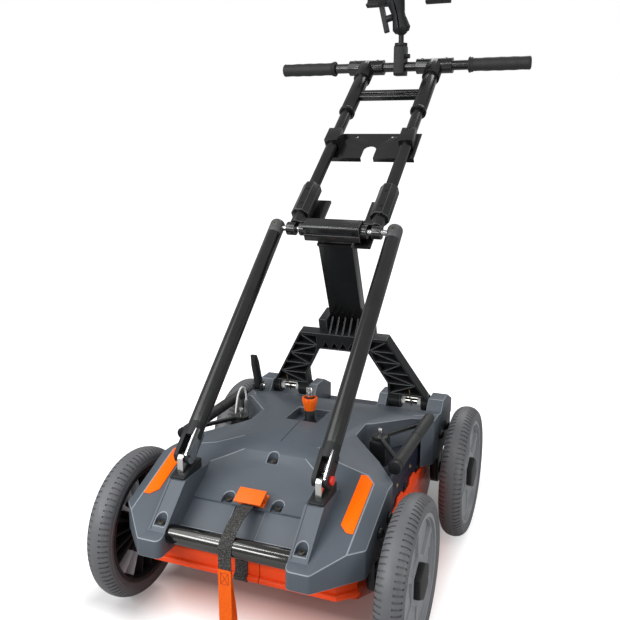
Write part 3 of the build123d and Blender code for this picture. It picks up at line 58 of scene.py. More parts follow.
bl_info = {
    "name": "Ground radar push cart",
    "version": (1, 0, 0),
    "blender": (4, 5, 0),
    "location": "View3D > Sidebar > Push cart",
    "description": "Dresses the ground radar push cart and sets its studio",
    "category": "Object",
}

# Places that several pieces share, in metres: X to the right, Y to the back, Z up.
AXLES = {"front": -0.394304, "rear": 0.093696}
HALF_TRACK = 0.285
WHEEL_RADIUS = 0.152
SHAFT = Vector((-0.021604, 0.7219))
TRAY_FRONT = -0.492304
TRAY_RIM = [(0.1815, TRAY_FRONT), (0.2115, -0.462304)]
TRAY_RIM_HEIGHT = 0.1475
TRAY_RIM_RADIUS = 0.007
CARRY_BAR_HEIGHT = 0.318

# Limits of the modelling, in metres and radians.
SEAM = 0.00001
FLAT = math.radians(0.5)
# Edges that turn more sharply than this are rounded and given a painted highlight.
PAINTED_HIGHLIGHT_ANGLE = math.radians(24)
SHARP_EDGE = math.radians(32)

FULL_TURN = 2 * math.pi
SIDES = {"left": -1, "right": 1}
BLACK = (0.0, 0.0, 0.0, 1.0)
WHITE = (1.0, 1.0, 1.0, 1.0)


class Value:
    """A shader value that takes part in Python expressions."""

    def __init__(self, finish, socket):
        self.finish = finish
        self.socket = socket

    def combine(self, operation, other=0.0):
        """Join this value and another, or a number, in one Math node."""
        return self.finish.value("ShaderNodeMath", 0, {0: self, 1: other}, operation=operation)

    def __add__(self, other):
        return self.combine("ADD", other)

    __radd__ = __add__

    def __sub__(self, other):
        return self.combine("SUBTRACT", other)

    def __mul__(self, other):
        return self.combine("MULTIPLY", other)

    def __mod__(self, other):
        return self.combine("FLOORED_MODULO", other)

    def __gt__(self, other):
        return self.combine("GREATER_THAN", other)

    def __lt__(self, other):
        return self.combine("LESS_THAN", other)

    def __abs__(self):
        return self.combine("ABSOLUTE")

    def wave(self):
        """Sine of the value, from 0 to 1."""
        return self.combine("SINE") * 0.5 + 0.5

    def spread(self, low, high):
        """The value's range from low to high, clipped and stretched to run from 0 to 1."""
        return self.finish.value("ShaderNodeMapRange", 0,
                                 {"Value": self, "From Min": low, "From Max": high})


class Finish:
    """One procedural material while its nodes are put together."""

    def __init__(self, name):
        self.material = bpy.data.materials.new(name)
        self.material.use_nodes = True
        self.tree = self.material.node_tree
        self.shader = self.tree.nodes["Principled BSDF"]

    def join(self, value, socket):
        """Link a value to a socket, or set the socket to a constant."""
        if isinstance(value, Value):
            self.tree.links.new(value.socket, socket)
        else:
            socket.default_value = value

    def value(self, kind, output, sockets=None, **settings):
        """Add a node with its settings, set or link its sockets, and take one of its outputs."""
        node = self.tree.nodes.new(kind)
        for key, setting in settings.items():
            setattr(node, key, setting)
        for key, value in (sockets or {}).items():
            self.join(value, node.inputs[key])
        return Value(self, node.outputs[output])

    def spot(self):
        """Place on the piece, in metres."""
        return self.value("ShaderNodeTexCoord", "Object")

    def along(self, axis):
        """One coordinate of the place on the piece."""
        return self.value("ShaderNodeSeparateXYZ", axis, {0: self.spot()})

    def noise(self, scale, detail=2.0, roughness=0.5, stretch=None):
        """Cloudy variation from 0 to 1, scale in waves per metre."""
        spot = self.spot()
        if stretch:
            spot = self.value("ShaderNodeMapping", 0, {"Vector": spot, "Scale": stretch})
        return self.value("ShaderNodeTexNoise", 0,
                          {"Vector": spot, "Scale": scale, "Detail": detail, "Roughness": roughness})

    def mix(self, share, first, second):
        """Blend two colours."""
        return self.value("ShaderNodeMix", 2, {0: share, 6: first, 7: second}, data_type="RGBA")

    def mottle(self, pattern, colour, dark, light):
        """A colour that follows a pattern from a darker to a lighter shade of it."""
        return self.mix(pattern, shade(colour, dark), shade(colour, light))

    def relief(self, height, strength, distance):
        """Raise the surface by a height pattern."""
        bump = self.value("ShaderNodeBump", 0,
                          {"Strength": strength, "Distance": distance, "Height": height})
        self.join(bump, self.shader.inputs["Normal"])

    def set(self, **sockets):
        """Set the shader's sockets, named with underscores for spaces."""
        for key, value in sockets.items():
            self.join(value, self.shader.inputs[key.replace("_", " ")])
        return self.material


def shade(colour, factor=1.0):
    """A colour made darker or lighter, with full opacity."""
    return (*[min(1.0, channel * factor) for channel in colour[:3]], 1.0)


def moulded(name, colour, roughness, grain=900.0, contrast=0.12, shine=0.5, glow=0.0):
    """Moulded plastic: fine grain, slight mottling, uneven gloss, and a painted glow that stands in for light
    it throws back.
    """
    finish = Finish(name)
    cloud = finish.noise(14.0, 3.0)
    grains = finish.noise(grain, 2.0, 0.6)
    handled = finish.noise(45.0, 4.0, 0.65)
    finish.relief(grains, 0.25, 0.00025)
    return finish.set(Base_Color=finish.mottle(cloud, colour, 1 - contrast, 1 + contrast),
                      Roughness=roughness - 0.06 + handled * 0.12 + grains * 0.03,
                      Specular_IOR_Level=shine, Emission_Color=shade(colour), Emission_Strength=glow)


def coated_metal(name, colour, roughness, metallic=0.35):
    """Black coated tube or sheet with faint draw lines and handling marks."""
    finish = Finish(name)
    lines = finish.noise(420.0, 3.0, 0.6)
    marks = finish.noise(26.0, 4.0, 0.6)
    finish.relief(lines, 0.03, 0.0002)
    return finish.set(Base_Color=finish.mottle(marks, colour, 0.85, 1.25), Metallic=metallic,
                      Roughness=roughness - 0.05 + marks * 0.1)


def bright_steel(name, colour, roughness=0.2):
    """Turned and polished metal with fine scratches."""
    finish = Finish(name)
    scratches = finish.noise(300.0, 4.0, 0.7, (1.0, 6.0, 6.0))
    finish.relief(scratches, 0.08, 0.0001)
    return finish.set(Base_Color=finish.mottle(scratches, colour, 0.82, 1.1), Metallic=1.0,
                      Roughness=roughness - 0.05 + scratches * 0.1)


def rubber(name, colour, roughness):
    """Moulded rubber with a dry bloom and fine pores."""
    finish = Finish(name)
    bloom = finish.noise(22.0, 4.0, 0.6)
    pores = finish.noise(1300.0, 2.0, 0.6)
    finish.relief(pores, 0.2, 0.0002)
    return finish.set(Base_Color=finish.mottle(bloom, colour, 0.8, 1.25),
                      Roughness=roughness - 0.08 + bloom * 0.16)


def woven(name, colour, fleck):
    """Narrow webbing: ribs across the band, yarns along it and uneven dye."""
    yarn_pitch, rib_pitch = 0.0016, 0.0022
    finish = Finish(name)
    band = finish.value("ShaderNodeUVMap", 0, uv_map="weave")
    across = finish.value("ShaderNodeSeparateXYZ", "X", {0: band})
    length = finish.value("ShaderNodeSeparateXYZ", "Y", {0: band})
    yarns = (across * (FULL_TURN / yarn_pitch)).wave()
    ribs = (length * (FULL_TURN / rib_pitch) + yarns * 2.2).wave()
    weave = ribs * 0.6 + yarns * 0.4
    marl = finish.noise(620.0, 2.0, 0.6).spread(0.49, 0.64)
    finish.relief(weave, 0.6, 0.0006)
    return finish.set(Base_Color=finish.mix(weave * 0.35 + marl * 0.65, shade(colour, 0.8), shade(fleck)),
                      Roughness=0.86, Specular_IOR_Level=0.15)


def seamed(name, colour, roughness):
    """Glossy moulded tub with parting grooves along its sides and up its front, dented by a bump and darkened
    with painted shade.
    """
    side_wall, front_wall = 0.2105, -0.46
    side_height, front_x, half_groove = 0.162, 0.036, 0.0011
    finish = Finish(name)
    cloud = finish.noise(14.0, 3.0)
    grains = finish.noise(700.0, 2.0, 0.6)
    side = abs(finish.along("X")) > side_wall
    front = finish.along("Y") < front_wall
    groove = ((abs(finish.along("Z") - side_height) < half_groove) * side
              + (abs(finish.along("X") - front_x) < half_groove) * front)
    skin = finish.mottle(cloud, colour, 0.95, 1.05)
    finish.relief(grains * 0.2 - groove, 0.3, 0.0008)
    # The groove colour is painted shade, at 0.36 of the tray's colour.
    return finish.set(Base_Color=finish.mix(groove, skin, shade(colour, 0.36)),
                      Roughness=roughness - 0.05 + cloud * 0.1, Specular_IOR_Level=0.2)


def ribbed(name, colour, pitch):
    """Soft black sleeve with fine rings along Y."""
    finish = Finish(name)
    rings = (finish.along("Y") * (FULL_TURN / pitch)).wave()
    bloom = finish.noise(40.0, 3.0)
    finish.relief(rings, 0.5, 0.0006)
    return finish.set(Base_Color=finish.mottle(bloom, colour, 0.8, 1.4), Roughness=0.42 + bloom * 0.12)


def two_tone_rim(name, colour, inner):
    """Wheel plastic: grey outer disc, black ribbed core, and painted light on three lobes between the ribs.
    """
    outer_face = 0.293
    lobes, lobe_share, lobe_offset = 3, 0.36, 3.4
    lobe_start, lobe_end = 0.062, 0.107
    front, rear = AXLES.values()
    finish = Finish(name)
    cloud = finish.noise(18.0, 3.0)
    grains = finish.noise(800.0, 2.0, 0.6)
    deep = finish.along("Y")
    back = deep - front - (deep > (front + rear) / 2) * (rear - front)
    rise = finish.along("Z") - WHEEL_RADIUS
    turn = back.combine("ARCTAN2", rise) * (lobes / FULL_TURN) + lobe_offset
    reach = back * back + rise * rise
    lobe = ((turn % 1.0) < lobe_share) * (reach > lobe_start ** 2) * (reach < lobe_end ** 2)
    # Painted light: the lobes are painted 2.4 times lighter than the disc's grey.
    core = finish.mix(lobe, shade(inner), shade(colour, 2.4))
    grey = finish.mottle(cloud, colour, 0.9, 1.1)
    finish.relief(grains, 0.15, 0.0002)
    return finish.set(Base_Color=finish.mix(abs(finish.along("X")) > outer_face, core, grey),
                      Roughness=0.38 + cloud * 0.1)


def tone(name, description, default):
    """A colour setting."""
    return FloatVectorProperty(name=name, description=description, default=default, subtype="COLOR")


def measure(name, description, default, least=0.0):
    """A length setting, in metres."""
    return FloatProperty(name=name, description=description, default=default, min=least, unit="LENGTH")


class CartColours(bpy.types.PropertyGroup):
    """Colours of the cart's finishes, as linear light."""

    cover: tone("Cover", "Slate-grey plastic of the top cover", (0.072, 0.088, 0.108))
    # The cover's edge colour is a painted highlight on its rounded edges, not polish.
    cover_edge: tone("Cover edge", "Polished edges of the top cover", (0.24, 0.27, 0.3))
    chassis: tone("Chassis", "Blue-black paint of the chassis", (0.012, 0.016, 0.034))
    tray: tone("Tray", "Orange-red plastic of the antenna tray", (0.98, 0.078, 0.013))
    orange: tone("Orange", "Orange plastic of the buckle and the collar", (1.0, 0.15, 0.01))
    reflector: tone("Reflector", "Orange of the side reflectors", (1.0, 0.125, 0.0))
    black: tone("Black", "Coated sheet, grips and ringed sleeves", (0.014, 0.015, 0.016))
    anodised: tone("Anodised", "Black anodised tubes", (0.062, 0.065, 0.063))
    polished: tone("Polished tube", "Polished black tube between the noses", (0.1, 0.101, 0.097))
    eye: tone("Strut eye", "Grey castings at the tops of the struts", (0.085, 0.088, 0.09))
    brass: tone("Brass", "Threaded inserts and wire clips", (0.52, 0.36, 0.16))
    red: tone("Pin red", "Heads of the strut pins", (0.75, 0.03, 0.02))
    moulding: tone("Black plastic", "Black moulded plastic", (0.013, 0.014, 0.015))
    # A painted highlight on the rounded edges of black castings, not wear.
    black_edge_highlight: tone("Black edge", "Worn edges of black castings", (0.075, 0.078, 0.08))
    bolt: tone("Bolt", "Dull steel of bolts and small screws", (0.2, 0.185, 0.16))
    steel: tone("Steel", "Bright pins, tongues and axles", (0.62, 0.62, 0.6))
    white: tone("White plastic", "Hinge bushes and the lead", (0.72, 0.73, 0.71))
    tyre: tone("Tyre", "Grey rubber of the tyres", (0.105, 0.108, 0.115))
    rim: tone("Rim", "Grey plastic of the wheel discs", (0.25, 0.26, 0.275))
    webbing: tone("Webbing", "Dark marl of the lift strap and the strap tail", (0.008, 0.008, 0.008))
    loop: tone("Pull loop", "Orange webbing of the pull loop", (1.0, 0.13, 0.008))


class CartSizes(bpy.types.PropertyGroup):
    """Sizes of the dressing."""

    cover_edge: measure("Cover edge", "Rounding of the cover's edges", 0.0013)
    groove_count: IntProperty(name="Tread grooves", description="Grooves round each shoulder of a tyre",
                              default=84, min=8)
    groove_depth: measure("Groove depth", "Depth of the tread grooves", 0.0024)
    webbing_thickness: measure("Webbing thickness", "Thickness of the straps", 0.0016, 0.0005)
    webbing_width: measure("Webbing width", "Width of the straps", 0.025, 0.005)
    lead_diameter: measure("Lead diameter", "Diameter of the encoder lead", 0.0044, 0.001)


def sizes():
    """The scene's sizes."""
    return bpy.context.scene.cart_sizes


# How each finish is made from the scene's colours, c.
FINISHES = {
    "cover": lambda c: moulded("slate_plastic", c.cover, 0.44),
    # Painted highlight for the cover's rounded edges.
    "cover_edge": lambda c: moulded("slate_plastic_painted_highlight", c.cover_edge, 0.36),
    "chassis": lambda c: moulded("blue_black_paint", c.chassis, 0.42),
    "tray": lambda c: seamed("orange_red_plastic", c.tray, 0.36),
    "orange": lambda c: moulded("orange_plastic", c.orange, 0.3, contrast=0.06, shine=0.3),
    # The reflectors glow a little: painted light standing in for the light they throw back.
    "reflector": lambda c: moulded("reflector_orange", c.reflector, 0.4, grain=300.0, contrast=0.05,
                                   shine=0.1, glow=0.3),
    "black_tube": lambda c: coated_metal("black_tube_coat", c.anodised, 0.2, metallic=0.9),
    "polished_tube": lambda c: coated_metal("polished_black_tube", c.polished, 0.14, metallic=1.0),
    "black_steel": lambda c: coated_metal("black_paint", c.black, 0.4),
    "black_plastic": lambda c: moulded("black_plastic", c.moulding, 0.46, contrast=0.2, shine=0.3),
    # Painted highlight for the rounded edges of black castings.
    "black_edge_highlight": lambda c: moulded("black_plastic_painted_highlight", c.black_edge_highlight, 0.4),
    # Near-black finish of painted shade, for holes.
    "hole": lambda c: moulded("painted_shade_black", (0.002, 0.002, 0.002), 0.9, shine=0.0),
    "bolt": lambda c: bright_steel("bolt_steel", c.bolt, 0.34),
    "steel": lambda c: bright_steel("bright_steel", c.steel),
    "white_plastic": lambda c: moulded("white_plastic", c.white, 0.4, contrast=0.06),
    "tyre": lambda c: rubber("tyre_rubber", c.tyre, 0.48),
    "rim": lambda c: two_tone_rim("wheel_plastic", c.rim, c.moulding),
    "grip": lambda c: rubber("grip_rubber", c.black, 0.6),
    "webbing": lambda c: woven("dark_webbing", c.webbing, fleck=(0.15, 0.15, 0.145)),
    "loop": lambda c: woven("orange_webbing", c.loop, fleck=(1.0, 0.17, 0.012)),
    "lead": lambda c: rubber("white_lead", c.white, 0.45),
    "boot": lambda c: rubber("grey_boot", (0.16, 0.16, 0.16), 0.55),
    "eye": lambda c: coated_metal("grey_casting", c.eye, 0.42, metallic=0.3),
    "brass": lambda c: bright_steel("yellow_brass", c.brass, 0.32),
    "red": lambda c: moulded("red_pin_head", c.red, 0.35, contrast=0.05),
    "sleeve": lambda c: ribbed("ringed_sleeve", c.black, pitch=0.0026),
    "thread": lambda c: rubber("red_thread", (0.35, 0.02, 0.01), 0.7),
    "electronics": lambda c: moulded("case_plastic", (0.03, 0.03, 0.032), 0.5),
}
made_finishes = {}


def finish_for(slot):
    """The material of a slot, made at its first use."""
    if slot not in made_finishes:
        made_finishes[slot] = FINISHES[slot](bpy.context.scene.cart_colours)
    return made_finishes[slot]


def take(piece):
    """Make a piece the only selected and the active object."""
    bpy.ops.object.select_all(action="DESELECT")
    piece.select_set(True)
    bpy.context.view_layer.objects.active = piece
    return piece


def mode(kind):
    """Go into edit mode or object mode."""
    bpy.ops.object.mode_set(mode=kind)


def plane(name, size=1.0):
    """A flat square on the ground as a new piece."""
    bpy.ops.object.select_all(action="DESELECT")
    bpy.ops.mesh.primitive_plane_add(size=size)
    piece = bpy.context.object
    piece.name = name
    piece.data.name = name
    return piece


def added(name, data):
    """Stand data in the scene as a new piece, selected and active."""
    piece = bpy.data.objects.new(name, data)
    bpy.context.scene.collection.objects.link(piece)
    return take(piece)


def edit_all():
    """Go into edit mode with the whole mesh selected."""
    mode("EDIT")
    bpy.ops.mesh.select_all(action="SELECT")


def mark(piece, kind, test):
    """Go into edit mode with only those corners, edges or faces selected that pass a test."""
    mode("EDIT")
    bpy.ops.mesh.select_mode(type=kind)
    bpy.ops.mesh.select_all(action="DESELECT")
    mode("OBJECT")
    mesh = piece.data
    for part in {"VERT": mesh.vertices, "EDGE": mesh.edges, "FACE": mesh.polygons}[kind]:
        part.select = test(part)
    mode("EDIT")


def weld(distance):
    """Join corners that lie within a distance, and turn all faces outward."""
    edit_all()
    bpy.ops.mesh.remove_doubles(threshold=distance)
    bpy.ops.mesh.normals_make_consistent(inside=False)
    mode("OBJECT")


def modify(piece, kind, label, **settings):
    """Add a modifier with its settings, and apply it."""
    modifier = piece.modifiers.new(label, kind)
    for key, setting in settings.items():
        setattr(modifier, key, setting)
    bpy.ops.object.modifier_apply(modifier=modifier.name)


def round_edges(piece, width, segments, corners):
    """Bevel the sharp edges of a piece, with the given kind of outer corners."""
    modify(piece, "BEVEL", "Rounded edges", width=width, segments=segments, limit_method="ANGLE",
           angle_limit=SHARP_EDGE, miter_outer=corners)


def settle(piece, slot, body, *nodes, smooth=35.0, finish=None):
    """Give a finished piece its shading, the material of its slot or finish, and its body, and let it stand
    for nodes.
    """
    take(piece)
    if piece.type == "MESH":
        bpy.ops.object.shade_smooth_by_angle(angle=math.radians(smooth))
    if not piece.data.materials:
        piece.data.materials.append(finish_for(finish or slot))
    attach(piece, body)
    if nodes:
        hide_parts(*nodes)
    return piece


def body_of(node):
    """The body that a node rides on."""
    return frame["nodes"][node]["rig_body"]


def slot_of(node):
    """The record's material slot of a node."""
    for entry in frame["record"]["subparts"]:
        if entry["node"] == node:
            return entry["material_slot"]
    raise RuntimeError(f"no material slot names {node}")


def merged_copy(node, name):
    """A copy of a node's mesh as a new piece, with its seams closed and its flats made whole."""
    piece = added(name, frame["nodes"][node].data.copy())
    piece.data.materials.clear()
    edit_all()
    bpy.ops.mesh.remove_doubles(threshold=SEAM)
    bpy.ops.mesh.dissolve_limited(angle_limit=FLAT)
    mode("OBJECT")
    bpy.ops.mesh.customdata_custom_splitnormals_clear()
    return piece


def tint(piece, slot, test):
    """Give the faces whose centre passes a test another finish."""
    piece.data.materials.append(finish_for(slot))
    index = len(piece.data.materials) - 1
    for face in piece.data.polygons:
        if test(face.center):
            face.material_index = index


def rounded(node, name, width, segments=2, finish=None):
    """Stand a copy of a node in its place, its sharp edges rounded, in its slot's finish or another."""
    piece = merged_copy(node, name)
    round_edges(piece, width, segments, "MITER_ARC")
    return settle(piece, slot_of(node), body_of(node), node, finish=finish)


def roomy_edges(mesh, angle, room):
    """The keys of the sharp outward edges beside which no short edge turns off."""
    same_way = 0.8
    roomy = set()
    sides = {}
    for face in mesh.polygons:
        corners = list(face.vertices)
        for first, last in zip(corners, corners[1:] + corners[:1]):
            run = mesh.vertices[last].co - mesh.vertices[first].co
            key = (min(first, last), max(first, last))
            sides.setdefault(key, []).append((face.normal, face.normal.cross(run)))
    meeting = {}
    for edge in mesh.edges:
        for corner in edge.vertices:
            meeting.setdefault(corner, []).append(edge.key)
    runs = {key: mesh.vertices[key[1]].co - mesh.vertices[key[0]].co for key in sides}
    for edge in mesh.edges:
        (normal, _), (other, inward) = sides[edge.key]
        outward = normal.angle(other, 0.0) > angle and inward.dot(normal) < 0
        beside = [runs[key] for corner in edge.vertices for key in meeting[corner] if key != edge.key]
        course = runs[edge.key].normalized()
        free = all(turn.length > room or abs(turn.normalized().dot(course)) > same_way for turn in beside)
        if outward and free:
            roomy.add(edge.key)
    return roomy


def edged(node, name, width, painted_highlight, shape_first=None):
    """Stand a copy of a node in its place, its edges rounded where they have room, with a painted highlight
    on the rounded faces.
    """
    piece = merged_copy(node, name)
    if shape_first:
        shape_first(piece)
    piece.data.materials.append(finish_for(slot_of(node)))
    piece.data.materials.append(finish_for(painted_highlight))
    roomy = roomy_edges(piece.data, PAINTED_HIGHLIGHT_ANGLE, 2.5 * width)
    mark(piece, "EDGE", lambda edge: edge.key in roomy)
    # The bevel faces take the second material: a lighter painted highlight along the edges.
    bpy.ops.mesh.bevel(offset=width, segments=3, affect="EDGES", clamp_overlap=False, material=1)
    mode("OBJECT")
    return settle(piece, slot_of(node), body_of(node), node)


def paint(*nodes):
    """Give nodes that keep their own mesh the material of their slot."""
    for node in nodes:
        piece = frame["nodes"][node]
        piece.data.materials.clear()
        piece.data.materials.append(finish_for(slot_of(node)))


def arc(centre, across, up, turns):
    """Points round a centre, at turns in degrees."""
    return [(centre[0] + across * math.cos(math.radians(turn)), centre[1] + up * math.sin(math.radians(turn)))
            for turn in turns]


def ribbon(name, route, width, thickness):
    """A flat band along a route in Y and Z, with its weave laid out, and the length of the route."""
    piece = plane(name, width)
    mark(piece, "VERT", lambda corner: corner.co.y > 0)
    bpy.ops.mesh.delete(type="VERT")
    edit_all()
    bpy.ops.transform.translate(value=(0, route[0][0] + width / 2, route[0][1]))
    reach = [0.0]
    for (y, z), (next_y, next_z) in zip(route, route[1:]):
        bpy.ops.mesh.extrude_region_move(TRANSFORM_OT_translate={"value": (0, next_y - y, next_z - z)})
        reach.append(reach[-1] + math.hypot(next_y - y, next_z - z))
    mode("OBJECT")
    weave = piece.data.uv_layers.new(name="weave")
    for corner in piece.data.loops:
        place = piece.data.vertices[corner.vertex_index].co
        nearest = min(range(len(route)), key=lambda i: math.dist(place.yz, route[i]))
        weave.data[corner.index].uv = (place.x, reach[nearest])
    modify(piece, "SUBSURF", "Smooth run", levels=2, boundary_smooth="PRESERVE_CORNERS", uv_smooth="NONE")
    modify(piece, "SOLIDIFY", "Thickness", thickness=thickness, offset=0.0)
    return piece, reach[-1]


def drawn(name, kind, radius, roundness, runs, capped=False):
    """A round bar drawn along runs of points, as a curve."""
    line = bpy.data.curves.new(name, "CURVE")
    line.dimensions = "3D"
    line.bevel_depth = radius
    line.bevel_resolution = roundness
    line.use_fill_caps = capped
    for run in runs:
        spline = line.splines.new(kind)
        spline.points.add(len(run) - 1)
        for point, place in zip(spline.points, run):
            point.co = (*place, 1.0)
    return added(name, line)


def half_section(name, profile, closed=False):
    """A mesh with the outline of a half section, (along, radius), in X and Z, open in edit mode."""
    piece = plane(name)
    edit_all()
    bpy.ops.mesh.delete(type="VERT")
    mode("OBJECT")
    last = len(profile) - 1
    links = [(i, i + 1) for i in range(last)] + [(last, 0)] * closed
    piece.data.from_pydata([(x, 0, r) for x, r in profile], links, [])
    edit_all()
    return piece


def turned(name, profile, steps, axis, centre):
    """A solid of revolution: a profile of (along, radius) spun about an axis through a centre."""
    piece = half_section(name, profile)
    bpy.ops.mesh.spin(steps=steps, angle=FULL_TURN, axis=(1, 0, 0))
    weld(SEAM)
    turn = Vector((1, 0, 0)).rotation_difference(Vector(axis)).to_matrix().to_4x4()
    piece.data.transform(Matrix.Translation(centre) @ turn)
    return piece


class CART_OT_stage(bpy.types.Operator):
    """Set the camera, the pale floor and the studio light"""

    bl_idname = "cart.stage"
    bl_label = "Studio"

    CAMERA_PLACE = (0.5793, -1.5984, 0.9282)
    CAMERA_DIP = 12.95
    CAMERA_TURN = 21.96
    LENS = 44.33
    FLOOR = 60
    AIR_FOR_LIGHT = 0.42

    # Each lamp: place, target, width, height and power.
    LAMPS = [((-1.6, -1.2, 2.6), (0.0, 0.0, 0.4), 2.3, 2.3, 27.0),
             ((1.9, -1.6, 2.2), (0.1, -0.1, 0.4), 0.5, 1.8, 9.0),
             ((2.0, -0.6, 0.45), (0.2, -0.15, 0.2), 0.6, 0.3, 7.0),
             ((-0.9, -2.0, 1.2), (0.0, -0.4, 0.3), 2.0, 0.4, 26.0),
             ((0.0, -1.25, 2.1), (0.0, -0.5, 0.25), 3.0, 0.1, 14.0),
             ((0.2, 1.9, 2.4), (0.0, 0.0, 0.5), 1.8, 1.0, 20.0)]

    # Rectangles of painted shadow and painted warm light on the floor, as middle and half sides, and how far
    # their edges fade.
    PAINTED_SHADOW = ((-0.02, 0.01), (0.23, 0.34))
    WHEEL_SHADOW = ((-0.3, -0.43), (0.045, 0.04))
    WHEEL_SHADOW_INSET = 0.03
    SHADOW_FADE = 0.14
    PAINTED_WARM_LIGHT = ((0.0, -0.2), (0.19, 0.17))
    WARM_FADE = 0.12

    def execute(self, context):
        scene = context.scene
        scene.view_settings.view_transform = "Standard"
        bpy.ops.object.camera_add(location=self.CAMERA_PLACE, rotation=(
            math.radians(90 - self.CAMERA_DIP), 0, math.radians(self.CAMERA_TURN)))
        camera = context.object
        camera.data.lens = self.LENS
        scene.camera = camera
        floor = plane("studio_floor", self.FLOOR)
        floor.data.materials.append(self.floor_finish())
        scene.world = bpy.data.worlds.new("studio_air")
        scene.world.use_nodes = True
        self.air(scene.world.node_tree)
        for place, target, width, height, power in self.LAMPS:
            bpy.ops.object.light_add(type="AREA", location=place)
            lamp = context.object
            lamp.data.shape = "RECTANGLE"
            lamp.data.size = width
            lamp.data.size_y = height
            lamp.data.energy = power
            lamp.rotation_euler = (Vector(target) - Vector(place)).to_track_quat("-Z", "Y").to_euler()
        return {"FINISHED"}

    def floor_finish(self):
        """Pale matt paper: a painted shadow and a painted warm light from the tray near the cart, running out
        to white.
        """
        finish = Finish("studio_paper")
        seen = finish.value("ShaderNodeLightPath", "Is Camera Ray")
        # Painted shadow: under the cart and by the front left wheel the paper's white glow to the camera
        # drops to near black.
        cart = self.beyond(finish, *self.PAINTED_SHADOW)
        wheel = self.beyond(finish, *self.WHEEL_SHADOW) + self.WHEEL_SHADOW_INSET
        far = cart.combine("MINIMUM", wheel).spread(0.0, self.SHADOW_FADE)
        # Painted warm light: near the tray the glow and the paper's own colour turn pink.
        outside_warm_light = self.beyond(finish, *self.PAINTED_WARM_LIGHT).spread(0.0, self.WARM_FADE)
        white = finish.mix(outside_warm_light, (1.0, 0.66, 0.6, 1.0), WHITE)
        glow = finish.mix(far, shade(WHITE, 0.015), white)
        return finish.set(Base_Color=finish.mix(outside_warm_light, (0.5, 0.4, 0.37, 1.0), shade(WHITE, 0.5)),
                          Roughness=0.9, Specular_IOR_Level=0.0,
                          Emission_Color=finish.mix(seen, BLACK, glow), Emission_Strength=1.0)

    def beyond(self, finish, middle, half):
        """How far a place on the floor lies outside a rectangle."""
        reach = 0.0
        for axis, centre, side in zip("XY", middle, half):
            past = (abs(finish.along(axis) - centre) - side).combine("MAXIMUM")
            reach = past * past + reach
        return reach.combine("POWER", 0.5)

    def air(self, tree):
        """White to the camera, and a softer white for light and reflections."""
        light = tree.nodes.new("ShaderNodeLightPath")
        strength = tree.nodes.new("ShaderNodeMapRange")
        strength.inputs["To Min"].default_value = self.AIR_FOR_LIGHT
        backdrop = tree.nodes["Background"]
        backdrop.inputs["Color"].default_value = WHITE
        tree.links.new(light.outputs["Is Camera Ray"], strength.inputs["Value"])
        tree.links.new(strength.outputs["Result"], backdrop.inputs["Strength"])


class CART_OT_lead(bpy.types.Operator):
    """Lay the encoder lead from its boot down through the cover"""

    bl_idname = "cart.lead"
    bl_label = "Encoder lead"

    ROUTE = [(-0.194, y, z) for y, z in (
        (-0.080304, 0.322), (-0.080304, 0.344), (-0.096304, 0.362), (-0.118304, 0.354),
        (-0.130304, 0.326), (-0.136304, 0.292), (-0.136304, 0.262))]
    LENGTH = 0.159

    def execute(self, context):
        piece = drawn("white_lead", "NURBS", sizes().lead_diameter / 2, 4, [self.ROUTE], capped=True)
        run = piece.data.splines[0]
        run.order_u = 3
        run.use_endpoint_u = True
        settle(piece, "lead", "cart", "encoder_lead")
        return {"FINISHED"}


